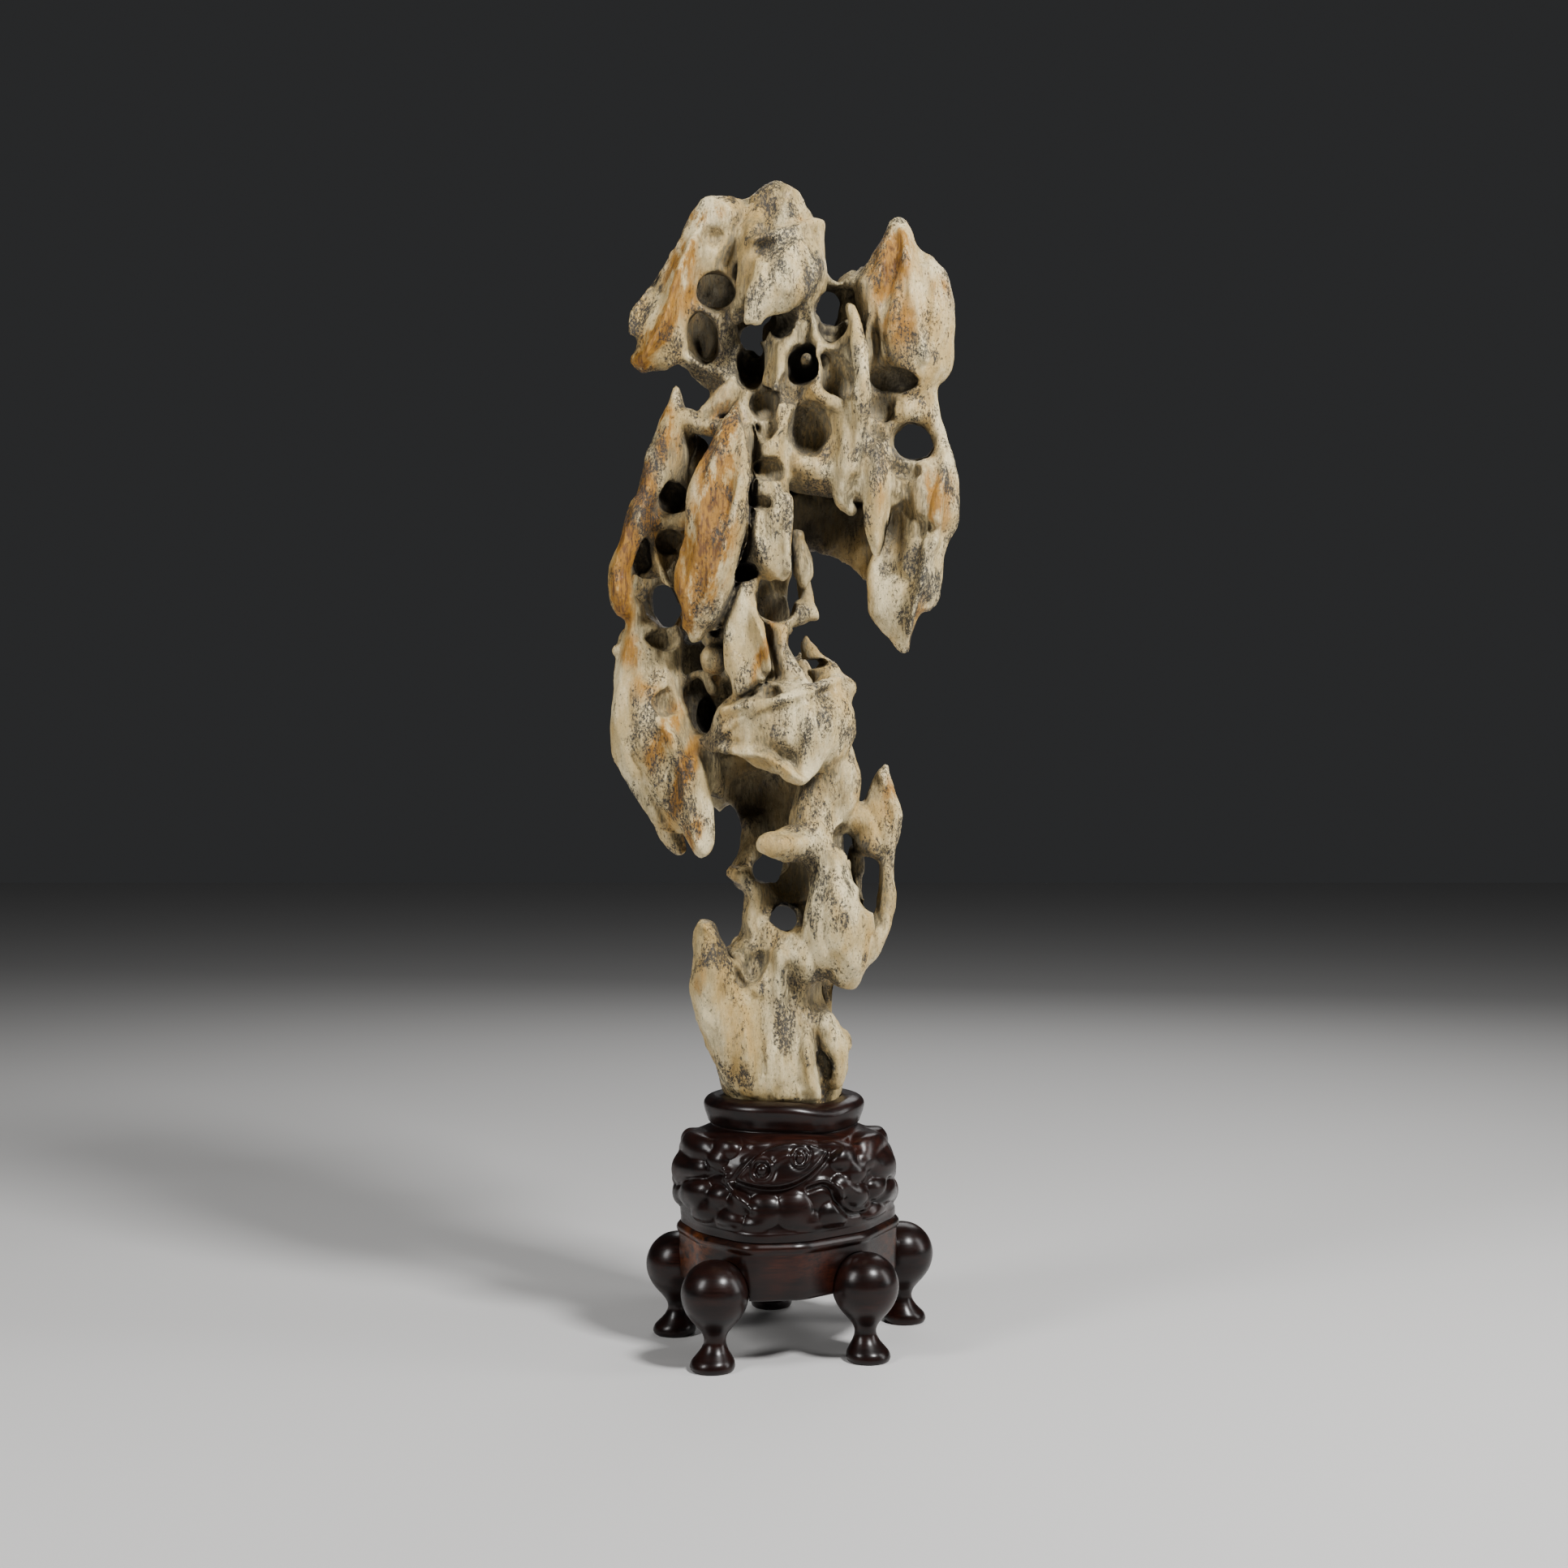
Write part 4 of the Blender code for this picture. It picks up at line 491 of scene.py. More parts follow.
def scallop(thing):
    places, normals = read_mesh(thing.data)
    rears = np.clip((places[:, 1] / MM - REAR_FROM) / REAR_FADE, 0.0, 1.0)
    pushes = np.empty(len(places))
    for index, place in enumerate(places / MM):
        place = Vector(place)
        rear = rears[index]
        near = noise.voronoi(place / SCALLOP_SIZE)[0][0]
        deep = SCALLOP_DEEP[0] + rear * (SCALLOP_DEEP[1] - SCALLOP_DEEP[0])
        sway = SWAY_DEEP[0] + rear * (SWAY_DEEP[1] - SWAY_DEEP[0])
        push = (near * near - SCALLOP_MIDDLE) * deep + noise.noise(place / SWAY_SIZE) * sway
        bend = CELL_BEND * noise.noise(place / CELL_BEND_SIZE)
        bent = Vector((place.x, place.y, place.z * CELL_TALL + bend))
        for size, high in CELLS:
            small = noise.voronoi(bent / size)[0][0]
            push += (small * small - CELL_MIDDLE) * high
        pushes[index] = push
    write_mesh(thing.data, places + normals * pushes[:, None] * MM)


scallop(stone)
print("the skin is scalloped")

# %% [markdown]
# ## The stone: pits and holes
#
# Pits were worn in after the limbs, so they are cut: each is a ball squashed to the pit's
# outline and sunk along the line of sight into the first face that it meets. A hole that shows
# daylight is a row of such balls right through. All the balls are melted into one tool and taken
# away with one boolean, which is quicker and cleaner than one cut for every pit.

# %% The pits and holes
# A pit sinks into the first face that its line of sight meets:
# (across, up, half width, half height, how deep it goes, tilt in degrees).
PITS_FRONT = [
    (-42, 647, 12, 11, 40, 0), (-50, 618, 10, 16, 40, 6), (-20, 601, 9.5, 15, 34, -10),
    (-2, 627, 9, 8, 18, 20), (-43, 681, 10, 8, 3, 0), (11.5, 601, 9.8, 12.5, 24, 0),
    (34, 592, 11, 15, 8, -6), (4.5, 588, 8, 11, 11, 0), (16, 562, 13, 17, 19, -6), (67, 592, 15, 8, 13, -8),
    (60, 577, 10, 12, 11, 0), (29, 624, 9, 10, 12, 0), (-12, 578, 10, 11, 12, 0), (-12, 564, 8, 9, 8, 0),
    (57, 563, 7, 9, 6, 0), (55.5, 618, 3.5, 26, 7, 3), (25, 168, 5, 12, 3, 14), (-69, 520, 8.5, 10, 12, 10),
    (-55, 538, 4, 14, 12, -12), (-70, 492, 9.5, 8, 10, 0), (-88, 483, 6, 12, 9, -12),
    (-9, 537, 12, 8, 14, 0), (-13, 516, 7, 4.5, 6, -20), (-24, 474, 9, 5.5, 16, 15),
    (-5, 455, 12.5, 13, 34, 0), (-72, 432, 12, 7.5, 9, 0), (-72, 393, 9, 10, 7, 0),
    (16, 417, 11, 3.6, 7, 12), (-8, 400, 6, 8, 6, 0), (36, 307, 8, 12, 9, 0), (5, 283, 14, 14, 14, 0),
    (-21, 230, 10, 15, 5, -28), (75, 537, 10, 7, 7, 0), (-48, 386, 7, 12, 14, 0), (-52, 403, 7, 8, 8, 0),
    (-17, 337, 21, 15, 6, 0),
]

# A bore runs right through along its line of sight: (across, up, half width, half height, tilt).
BORES = [
    (27, 636, 7.5, 10.5, 0), (-21, 617.5, 7.5, 8, 0), (80, 553.5, 12.5, 11.5, -18),
    (-73, 452, 9.5, 14.5, 14), (-14, 291, 6.5, 8.5, 0), (-0.5, 260, 9.5, 9, 0), (52, 277, 5, 14, 0),
    (6.5, 428, 4, 8, 14), (-33, 318, 6.5, 14, 0),
]

BORE_DEPTHS = range(-60, 70, 8)
BORE_REACH = 12.0             # half length of each ball in the row that makes a bore
REAR_START = 200.0            # pits of the back are sunk from this far behind
# Hollows of the back: (across, up, half width, half height, depth, tilt), seen from behind.
PITS_REAR = [
    (-2, 664, 8, 19, 14, 14), (-46, 640, 13, 19, 16, 14), (-40, 668, 7, 5, 6, 0),
    (-22, 616, 11, 8, 12, -25), (8, 634, 6, 15, 12, 10), (40, 604, 13, 16, 14, 20), (-14, 588, 8, 6, 9, 0),
    (44, 574, 8, 5, 8, 15), (62, 640, 8, 18, 12, -12), (94, 640, 6, 14, 8, 8), (62, 606, 5, 6, 7, 0),
    (96, 606, 6, 10, 7, 0), (-30, 560, 12, 17, 14, -18), (-34, 526, 6, 8, 10, 0), (34, 542, 14, 7, 12, 16),
    (58, 528, 7, 11, 10, -20), (-66, 500, 8, 12, 10, 18), (-92, 500, 6, 13, 8, 10), (-58, 530, 5, 8, 8, 0),
    (100, 512, 7, 14, 8, 0), (64, 500, 10, 13, 10, 28), (82, 470, 6, 13, 8, 0), (10, 500, 5, 12, 10, -8),
    (-36, 486, 9, 15, 12, -16), (-6, 452, 8, 17, 12, 10), (-32, 444, 12, 8, 12, 24), (-52, 424, 6, 5, 8, 0),
    (-12, 420, 8, 5, 9, 0), (12, 404, 12, 8, 10, -14), (-92, 420, 7, 12, 9, 0), (-92, 384, 7, 15, 8, 0),
    (-44, 366, 8, 14, 12, 22), (-20, 360, 6, 6, 8, 0), (8, 354, 15, 8, 12, -12), (-6, 326, 12, 14, 5, -15),
    (34, 312, 7, 12, 9, 0), (-8, 228, 7, 19, 10, 8), (28, 186, 6, 14, 8, -6), (-4, 186, 8, 12, 8, 0),
    (36, 348, 6, 13, 9, 14),
]
print("pits:", len(PITS_FRONT) + len(PITS_REAR), "bores:", len(BORES))

# %% Cutting the pits


def tool_axes(direction, tilt):
    """Across, along and up for a tool that looks along a direction, tilted round it."""
    across = direction.cross(Vector((0, 0, 1))).normalized()
    up = across.cross(direction).normalized()
    angle = math.radians(tilt)
    return (across * math.cos(angle) + up * math.sin(angle), direction,
            up * math.cos(angle) - across * math.sin(angle))


PIT_WOBBLE = 2.6              # how far water has pulled a pit out of round
PIT_WOBBLE_SIZE = 13.0
CUT_WEAR = 2                  # how often the cut edges are rubbed smooth
PIT_SEED = 4                  # noise_vector starts from a seed; without one, each run would differ
PIT_WALL = 3.0                # 2 makes a round pit; more makes its wall steep and its floor flat
PIT_REACH = 0.7               # a shallow pit's tool reaches at least this share of its half width


def ball_template():
    """Corners and faces of a round ball of radius one, to be squashed again and again."""
    bm = bmesh.new()
    bmesh.ops.create_icosphere(bm, subdivisions=4, radius=1.0)
    corners = np.array([vert.co for vert in bm.verts])
    flat = np.hypot(corners[:, 0], corners[:, 2])
    steep = corners / ((flat ** PIT_WALL + np.abs(corners[:, 1]) ** PIT_WALL) ** (1 / PIT_WALL))[:, None]
    faces = np.array([[vert.index for vert in face.verts] for face in bm.faces])
    bm.free()
    return corners, steep, faces


ROUND_CORNERS, STEEP_CORNERS, BALL_FACES = ball_template()


def ball(centre, axes, halves, corners=STEEP_CORNERS):
    """A ball squashed to its three half axes along the given directions."""
    spokes = np.array([axis * half for axis, half in zip(axes, halves)])
    return corners @ spokes + np.array(centre)


def pit_ball(surface, origin, direction, pit):
    """A rounded tool, sunk into the first face met from the origin."""
    wide, high, deep, tilt = pit
    hit = surface.ray_cast(origin, direction)[0]
    if hit is None:
        print("a pit misses the stone:", tuple(round(value / MM) for value in origin), pit)
        return []
    reach = max(deep, PIT_REACH * min(wide, high))
    centre = hit + direction * (deep - reach) * MM
    corners = ROUND_CORNERS if reach > deep else STEEP_CORNERS
    return [ball(centre, tool_axes(direction, tilt), (wide * MM, reach * MM, high * MM), corners)]


def one_mesh(name, balls):
    """All the balls as one object."""
    mesh = bpy.data.meshes.new(name)
    corners = np.concatenate(balls)
    steps = np.arange(len(balls)) * len(ROUND_CORNERS)
    faces = (BALL_FACES[None] + steps[:, None, None]).reshape(-1, 3)
    mesh.from_pydata(corners.tolist(), [], faces.tolist())
    thing = bpy.data.objects.new(name, mesh)
    bpy.context.scene.collection.objects.link(thing)
    return thing


surface = surface_of(stone.data)
balls = []
for across, up, *pit in PITS_FRONT:
    balls += pit_ball(surface, EYE, (sight(across, up, 0) - EYE).normalized(), pit)
for across, up, *pit in PITS_REAR:
    balls += pit_ball(surface, Vector((across, REAR_START, up)) * MM, Vector((0, -1, 0)), pit)
for across, up, wide, high, tilt in BORES:
    axes = tool_axes((sight(across, up, 0) - EYE).normalized(), tilt)
    for depth in BORE_DEPTHS:
        balls.append(ball(sight(across, up, depth), axes, (wide * MM, BORE_REACH * MM, high * MM)))
hollows = one_mesh("hollows", balls)
noise.seed_set(PIT_SEED)
for vert in hollows.data.vertices:
    vert.co += noise.noise_vector(vert.co / MM / PIT_WOBBLE_SIZE) * PIT_WOBBLE * MM
grow_together(hollows, STONE_GRAIN)
finish_with(stone, 'BOOLEAN', operation='DIFFERENCE', solver='MANIFOLD', object=hollows)
bpy.data.objects.remove(hollows, do_unlink=True)

# Knobs left standing in the hollows: (across, up, depth, half width, half height, half thickness).
KNOBS = [
    (13.8, 603.5, -15, 3.9, 3.9, 14), (-43, 420, -22, 8.5, 10, 9), (-13.5, 407, -48, 2.2, 2.2, 4),
    (-102, 425, -14, 4, 4, 4), (8, 496, -14, 4.5, 4, 6),
]
knob_axes = (Vector((1, 0, 0)), Vector((0, 1, 0)), Vector((0, 0, 1)))
knobs = one_mesh("knobs", [ball(sight(x, z, y), knob_axes, (wide * MM, thick * MM, high * MM), ROUND_CORNERS)
                           for x, z, y, wide, high, thick in KNOBS])
bpy.ops.object.select_all(action='DESELECT')
knobs.select_set(True)
stone.select_set(True)
bpy.context.view_layer.objects.active = stone
bpy.ops.object.join()
grow_together(stone, STONE_GRAIN)
wear(stone, CUT_WEAR)
print("after the cuts the stone has", len(stone.data.polygons), "faces")

# %% [markdown]
# ## The stone: facets, folds and flutes
#
# What is left is drawn on the face of the stone: broad shallow hollows between planar facets,
# creases and ridges that follow a line, and upright flutes where water ran down. Each moves the
# skin along the line of sight, and only where it faces the viewer.

# %% Hollows, folds and flutes of the front
# (across, up, half width, half height, tilt, depth).
DENTS = [
    (-78, 652, 6.5, 30, -27, 10), (-24, 655, 7, 22, 0, 3), (-50, 692, 12, 8, 20, 2), (-43, 681, 9, 8, 0, 3),
    (5, 655, 11, 20, 6, -3), (-10, 662, 5, 22, 8, 2), (18, 672, 5, 14, 8, 2.5), (66, 655, 6, 24, -14, 5),
    (88, 640, 8, 26, 4, 3), (98, 605, 8, 20, 0, 3), (93, 645, 5, 6, 0, 2), (74, 618, 8, 16, 0, 2.5),
    (-47, 535, 7, 28, 8, 3.5), (-33, 510, 6, 30, 10, 2.5), (-58, 478, 6, 26, 14, 3),
    (-96, 500, 5, 24, 12, 2.5), (67, 492, 10, 28, -8, 10), (90, 500, 12, 6, 20, 3.5),
    (84, 462, 9, 18, -15, -3), (100, 520, 6, 18, 0, 3), (-85, 355, 6, 28, -22, 4),
    (-69, 336, 5, 24, -15, 3.5), (-95, 388, 6, 26, 5, 3), (-84, 412, 10, 10, 0, 2.5),
    (-14, 378, 22, 9, 10, 4), (14, 388, 8, 14, 0, -2.5), (2, 360, 12, 6, -30, 3), (-24, 426, 7, 16, 0, 2.5),
    (-11, 500, 6, 18, 0, 3), (-20, 231, 11, 19, -30, 5), (-8, 190, 8, 26, 4, 2.5), (26, 170, 7, 16, 12, 6),
    (24, 214, 12, 6, 35, 5), (30, 250, 10, 20, 0, 3), (46, 262, 6, 18, 0, 2.5), (30, 330, 10, 24, 0, 4),
    (62, 330, 8, 16, -6, 3), (-46, 235, 6, 20, -8, -2), (-38, 190, 6, 24, -8, 2.5),
]
# Creases (positive) and ridges (negative) along a line: ([points], half width, depth).
FOLDS = [
    ([(-57, 679), (-65, 660), (-70, 645), (-73, 632), (-81, 615), (-88, 603)], 3.0, -3.0),
    ([(-92, 360), (-84, 342), (-75, 325), (-66, 312), (-61, 304)], 2.5, 3.5),
    ([(-77, 384), (-68, 366), (-62, 345), (-57, 316), (-53, 304)], 3.0, -3.0),
    ([(-50, 256), (-38, 246), (-29, 233), (-22, 221), (-15, 214)], 2.8, -4.0),
    ([(-18, 562), (-19, 530), (-22, 500), (-31, 462), (-42, 437)], 2.6, 8.0),
    ([(-37, 404), (-29, 395), (-18, 401), (-8, 410)], 2.2, 4.0),
    ([(-14, 215), (-13, 190), (-12, 165)], 1.6, 2.2), ([(-38, 215), (-32, 180), (-29, 160)], 3.0, 2.2),
    ([(-25, 210), (-22, 180), (-20, 158)], 3.0, -2.0), ([(4, 230), (7, 195), (9, 160)], 3.5, 2.2),
    ([(-3, 240), (-2, 200), (-1, 160)], 3.0, -2.0), ([(14, 230), (15, 195), (14, 155)], 3.0, -2.2),
    ([(20, 235), (22, 205), (19, 165)], 2.6, 2.0), ([(-52, 225), (-49, 195), (-42, 165)], 3.0, -1.6),
    ([(-18, 680), (-20, 662), (-24, 642), (-25, 630)], 2.6, -2.4),
    ([(24, 690), (22, 672), (21, 655)], 2.6, -2.0), ([(-8, 676), (-11, 658), (-15, 640)], 2.4, 1.8),
    ([(6, 678), (5, 660), (0, 640)], 2.6, -1.6),
    ([(-23, 702), (-25, 690), (-29, 678), (-36, 664)], 3.4, 5.5),
    ([(66, 688), (60, 668), (57, 650)], 3.0, -2.2),
    ([(71, 686), (74, 668), (70, 650), (66, 630)], 3.0, -2.6),
    ([(78, 676), (82, 655), (80, 632)], 3.0, 2.4),
    ([(90, 664), (94, 645), (92, 620), (95, 600)], 3.0, -2.4),
    ([(-28, 575), (-25, 545), (-35, 498), (-50, 456)], 2.6, -2.6),
    ([(-40, 552), (-50, 520), (-54, 485), (-62, 460)], 2.6, -2.0),
    ([(103, 540), (98, 520), (94, 495), (86, 470), (78, 440)], 3.0, -3.0),
    ([(64, 478), (76, 468), (88, 455)], 3.0, 2.6), ([(68, 520), (80, 508), (96, 498)], 3.0, 2.6),
    ([(-44, 371), (-26, 384), (-6, 392), (18, 400), (38, 409)], 2.6, -2.6),
    ([(-40, 358), (-20, 361), (-4, 356), (10, 345)], 2.4, -2.4),
    ([(20, 398), (16, 380), (12, 360), (11, 348)], 3.0, -2.4),
    ([(-18, 448), (-12, 432), (-9, 415)], 2.2, -2.0), ([(41, 290), (50, 272), (56, 252)], 3.0, -2.2),
    ([(28, 292), (24, 270), (26, 245), (34, 230)], 3.0, 2.4),
    ([(57, 352), (66, 335), (71, 305)], 2.6, -2.0), ([(44, 336), (56, 322), (62, 300)], 2.6, 2.2),
    ([(38, 574), (38, 550), (36, 526)], 3.0, -1.8), ([(57, 552), (58, 520), (57.5, 490)], 2.4, -1.8),
    ([(-99, 500), (-104, 478), (-103, 456)], 2.6, -1.8), ([(-70, 575), (-78, 550), (-84, 525)], 2.6, -2.0),
]
FLUTE_WIDE = 5.5
FLUTE_TALL = 38.0
FLUTE_DEEP = 1.3
FLUTE_MIDDLE = 0.3
DENT_EDGE = 1.3               # how sharply a hollow ends at its rim
RELIEF_TURN = 1.8             # how soon the relief fades out where the skin turns away
RELIEF_START = 0.1


def line_distance(across, up, points):
    """How far each spot is from a line through the points."""
    best = np.full(len(across), 1e9)
    path = spline(points, 4)
    for (ax, az), (bx, bz) in zip(path, path[1:]):
        run = max((bx - ax) ** 2 + (bz - az) ** 2, 1e-9)
        along = np.clip(((across - ax) * (bx - ax) + (up - az) * (bz - az)) / run, 0, 1)
        best = np.minimum(best, np.hypot(across - ax - along * (bx - ax), up - az - along * (bz - az)))
    return best


def oval_distance(across, up, x, z, wide, high, tilt):
    """Distance from the middle of a tilted oval, one at its rim."""
    turn = math.radians(tilt)
    a = ((across - x) * math.cos(turn) + (up - z) * math.sin(turn)) / wide
    b = ((up - z) * math.cos(turn) - (across - x) * math.sin(turn)) / high
    return np.hypot(a, b)


def line_relief(across, up, lines):
    """What a list of lines adds at each spot: ([points], half width, depth or height)."""
    relief = np.zeros(len(across))
    for points, wide, deep in lines:
        relief += deep * np.exp(-(line_distance(across, up, points) / wide) ** 2)
    return relief


def draw_relief(thing):
    places, normals = read_mesh(thing.data)
    across, up = elevation_of(places)
    facing = np.clip(-normals[:, 1] * RELIEF_TURN - RELIEF_START, 0, 1)
    push = np.zeros(len(places))
    for *oval, deep in DENTS:
        push += deep * np.exp(-DENT_EDGE * oval_distance(across, up, *oval) ** 2)
    push += line_relief(across, up, FOLDS)
    inward = places - np.array(EYE)
    inward /= np.linalg.norm(inward, axis=1)[:, None]
    places = places + inward * (push * facing)[:, None] * MM
    flutes = np.array([noise.noise(Vector((x / FLUTE_WIDE, y / FLUTE_WIDE, z / FLUTE_TALL)))
                       for x, y, z in places / MM])
    push = (FLUTE_MIDDLE - np.abs(flutes)) * FLUTE_DEEP
    write_mesh(thing.data, places + normals * push[:, None] * MM)


draw_relief(stone)
print("relief:", len(DENTS), "hollows,", len(FOLDS), "folds")

# %% [markdown]
# ## The stand: its outlines
#
# The stand is made for this one stone. The apron's plan has eleven soft corners, wider where a
# leg stands; the carved block starts on that plan and turns into an oval by its waist. Both
# outlines are stated once, as numbers round a turn, and every wooden piece is raised from them.

# %% Plan and profile of the stand
COLLAR_TOP = 152.5            # top face of the collar that holds the stone
SOCKET_FLOOR = 131.0
GROOVE_UP = 74.0              # joint between the carved block and the apron
APRON_FOOT = 40.0
APRON_PLAN = [(-21, -68.5), (11.5, -64), (48.5, -33), (70.5, 14.5), (66, 42), (40, 64), (8, 72),
              (-26, 68), (-56, 40), (-65, 0), (-50.5, -37.5)]
PLAN_CENTRE = (3.0, 3.0)
PLAN_SIDES = 640
SEAT_SIDES = 120
BLOCK_SOFT = 9                # degrees of turn over which a corner of the plan is rounded
APRON_SOFT = 4.5

# (up, half width, half depth, share of the apron's plan in the outline), from the joint up.
BLOCK_PROFILE = [
    (GROOVE_UP + GAP, 67, 65, 1.0), (75.4, 68.6, 66.6, 1.0), (77.6, 69.6, 67.4, 1.0), (79, 68.4, 66, 0.95),
    (80.5, 65.5, 62.5, 0.85), (85, 65.5, 61.5, 0.6), (92, 65.5, 61, 0.3), (102, 65, 60, 0.05),
    (112, 64, 58.5, 0.0), (120, 62, 56, 0.0), (127, 57.5, 51, 0.0), (131, 51, 45, 0.0),
    (133.6, 45.5, 40, 0.0), (134.8, 44.5, 39.3, 0.0), (136.2, 46.3, 41.2, 0.0), (138.5, 47.2, 42, 0.0),
    (143, 48.8, 43.6, 0.0), (147.5, 49.4, 44.4, 0.0), (150.6, 47.5, 42.5, 0.0),
    (COLLAR_TOP - 0.4, 44.5, 39.5, 0.0), (COLLAR_TOP, 42, 37, 0.0), (152, 36, 31, 0.0),
]
SOCKET_PROFILE = [(151, 34.4, 29.4), (SOCKET_FLOOR, 32.5, 27.5)]


def plan_radius(angle, plan):
    """Distance from the plan's centre to its outline in one direction."""
    aim = Vector((math.cos(angle), math.sin(angle)))
    for (ax, ay), (bx, by) in zip(plan, plan[1:] + plan[:1]):
        start = Vector((ax - PLAN_CENTRE[0], ay - PLAN_CENTRE[1]))
        edge = Vector((bx - ax, by - ay))
        cross = aim.x * edge.y - aim.y * edge.x
        reach = (start.x * edge.y - start.y * edge.x) / cross
        along = (start.x * aim.y - start.y * aim.x) / cross
        if reach > 0 and 0 <= along < 1:
            return reach
    return 0.0


def rounded_plan(sides, soft_degrees):
    """The plan's radius in each direction, its corners rounded by averaging neighbours."""
    raw = [plan_radius(2 * math.pi * side / sides, APRON_PLAN) for side in range(sides)]
    reach = range(-round(soft_degrees / 360 * sides), round(soft_degrees / 360 * sides) + 1)
    return [sum(raw[(side + shift) % sides] for shift in reach) / len(reach) for side in range(sides)]


def oval_to_plan(radii, side, wide, deep, share, out=0.0):
    """One corner of an outline between an oval and the apron's plan."""
    angle = 2 * math.pi * side / len(radii)
    oval = ((wide + out) * math.cos(angle), (deep + out) * math.sin(angle))
    plan = (PLAN_CENTRE[0] + (radii[side] + out) * math.cos(angle),
            PLAN_CENTRE[1] + (radii[side] + out) * math.sin(angle))
    return [a + (b - a) * share for a, b in zip(oval, plan)]


print("the plan is", PLAN_SIDES, "points round")

# %% [markdown]
# ## Fitting the stone to its socket
#
# The joiner scribes the socket to the stone's foot; here it is the other way round, because the
# socket is the plain shape: the stone's foot is cut by the block's own outline grown by the
# clearance, so the two never touch. The tool is raised as the block is: a ring of points,
# extruded and scaled ring by ring.

# %% Raise a stack of rings from a circle


def raise_rings(name, rings):
    """A circle is extruded once per ring, and each ring is then set to its outline."""
    bpy.ops.object.select_all(action='DESELECT')
    bpy.ops.mesh.primitive_circle_add(vertices=len(rings[0]), radius=1.0, fill_type='NGON')
    thing = bpy.context.active_object
    thing.name = name
    bpy.ops.object.mode_set(mode='EDIT')
    bpy.ops.mesh.select_all(action='SELECT')
    for _ in rings[1:]:
        bpy.ops.mesh.extrude_region_move(TRANSFORM_OT_translate={"value": (0, 0, 1)})
    bpy.ops.object.mode_set(mode='OBJECT')
    places, _ = read_mesh(thing.data)
    levels = np.rint(places[:, 2]).astype(int)
    turns = np.arctan2(places[:, 1], places[:, 0]) / (2 * math.pi) * len(rings[0])
    sides = np.rint(turns).astype(int) % len(rings[0])
    write_mesh(thing.data, np.array(rings)[levels, sides] * MM)
    pick(thing)
    bpy.ops.object.mode_set(mode='EDIT')
    bpy.ops.mesh.select_all(action='SELECT')
    bpy.ops.mesh.normals_make_consistent(inside=False)
    bpy.ops.object.mode_set(mode='OBJECT')
    return thing


def stack(profile, radii, ease=0.0):
    """Rings of a block between an oval and the plan, all faces moved out by the ease."""
    rings = []
    for index, (up, wide, deep, share) in enumerate(profile):
        lift = ease if index else -ease
        ring = [(*oval_to_plan(radii, side, wide, deep, share, ease if share == 0 else 0.0), up + lift)
                for side in range(len(radii))]
        rings.append(ring)
    for up, wide, deep in SOCKET_PROFILE:
        rings.append([((wide - ease) * math.cos(2 * math.pi * side / len(radii)),
                       (deep - ease) * math.sin(2 * math.pi * side / len(radii)), up + ease)
                      for side in range(len(radii))])
    return rings


seat = raise_rings("stone_seat", stack(BLOCK_PROFILE, rounded_plan(SEAT_SIDES, BLOCK_SOFT), GAP))
finish_with(stone, 'BOOLEAN', operation='DIFFERENCE', solver='MANIFOLD', object=seat)
bpy.data.objects.remove(seat, do_unlink=True)
print("the foot is cut to its seat:", len(stone.data.polygons), "faces")

# %% Keep one stone, at a weight that a scene can carry
STONE_FACES = 190000


def keep_largest(mesh):
    """Drop the crumbs that the cuts leave, so that the stone is one piece."""
    bm = bmesh.new()
    bm.from_mesh(mesh)
    unseen = set(bm.verts)
    pieces = []
    while unseen:
        edge_of_piece = [unseen.pop()]
        piece = list(edge_of_piece)
        while edge_of_piece:
            here = edge_of_piece.pop()
            fresh = [edge.other_vert(here) for edge in here.link_edges]
            fresh = [vert for vert in fresh if vert in unseen]
            unseen.difference_update(fresh)
            edge_of_piece.extend(fresh)
            piece.extend(fresh)
        pieces.append(piece)
    pieces.sort(key=len)
    for crumb in pieces[:-1]:
        bmesh.ops.delete(bm, geom=crumb, context='VERTS')
    bmesh.ops.triangulate(bm, faces=bm.faces)
    bm.to_mesh(mesh)
    bm.free()
    return len(pieces)


found = keep_largest(stone.data)
share = min(1.0, STONE_FACES / len(stone.data.polygons))
finish_with(stone, 'DECIMATE', ratio=share, use_collapse_triangulate=True)
pick(stone)
bpy.ops.object.shade_smooth()
print("pieces found:", found, "- the stone keeps", len(stone.data.polygons), "triangles")

# %% [markdown]
# ## The stone: where its colours lie
#
# Iron in the ground stains the stone ochre, mostly on its left, and dirt leaves dark crusts. The
# holes are painted dark inside with shade and some grey dirt, and the walls that stand back get
# painted shade. These places belong to the stone, not to a pattern, so they are
# stored on its vertices as masks: soft spots set out on the front elevation, and how closed in
# each vertex is, measured with rays. The material then breaks the masks up with noise.

# %% Measure how closed in each vertex is
RAYS = 24
RAY_REACH = 60.0              # how far a ray looks for a wall
RAY_START = 0.6               # and how far over the skin it starts


def ray_fan(count):
    """Directions spread evenly over the half sphere round +Z, denser near it."""
    fan = []
    for index in range(count):
        height = math.sqrt((index + 0.5) / count)
        flat = math.sqrt(1 - height * height)
        turn = index * math.pi * (3 - math.sqrt(5))
        fan.append(Vector((flat * math.cos(turn), flat * math.sin(turn), height)))
    return fan


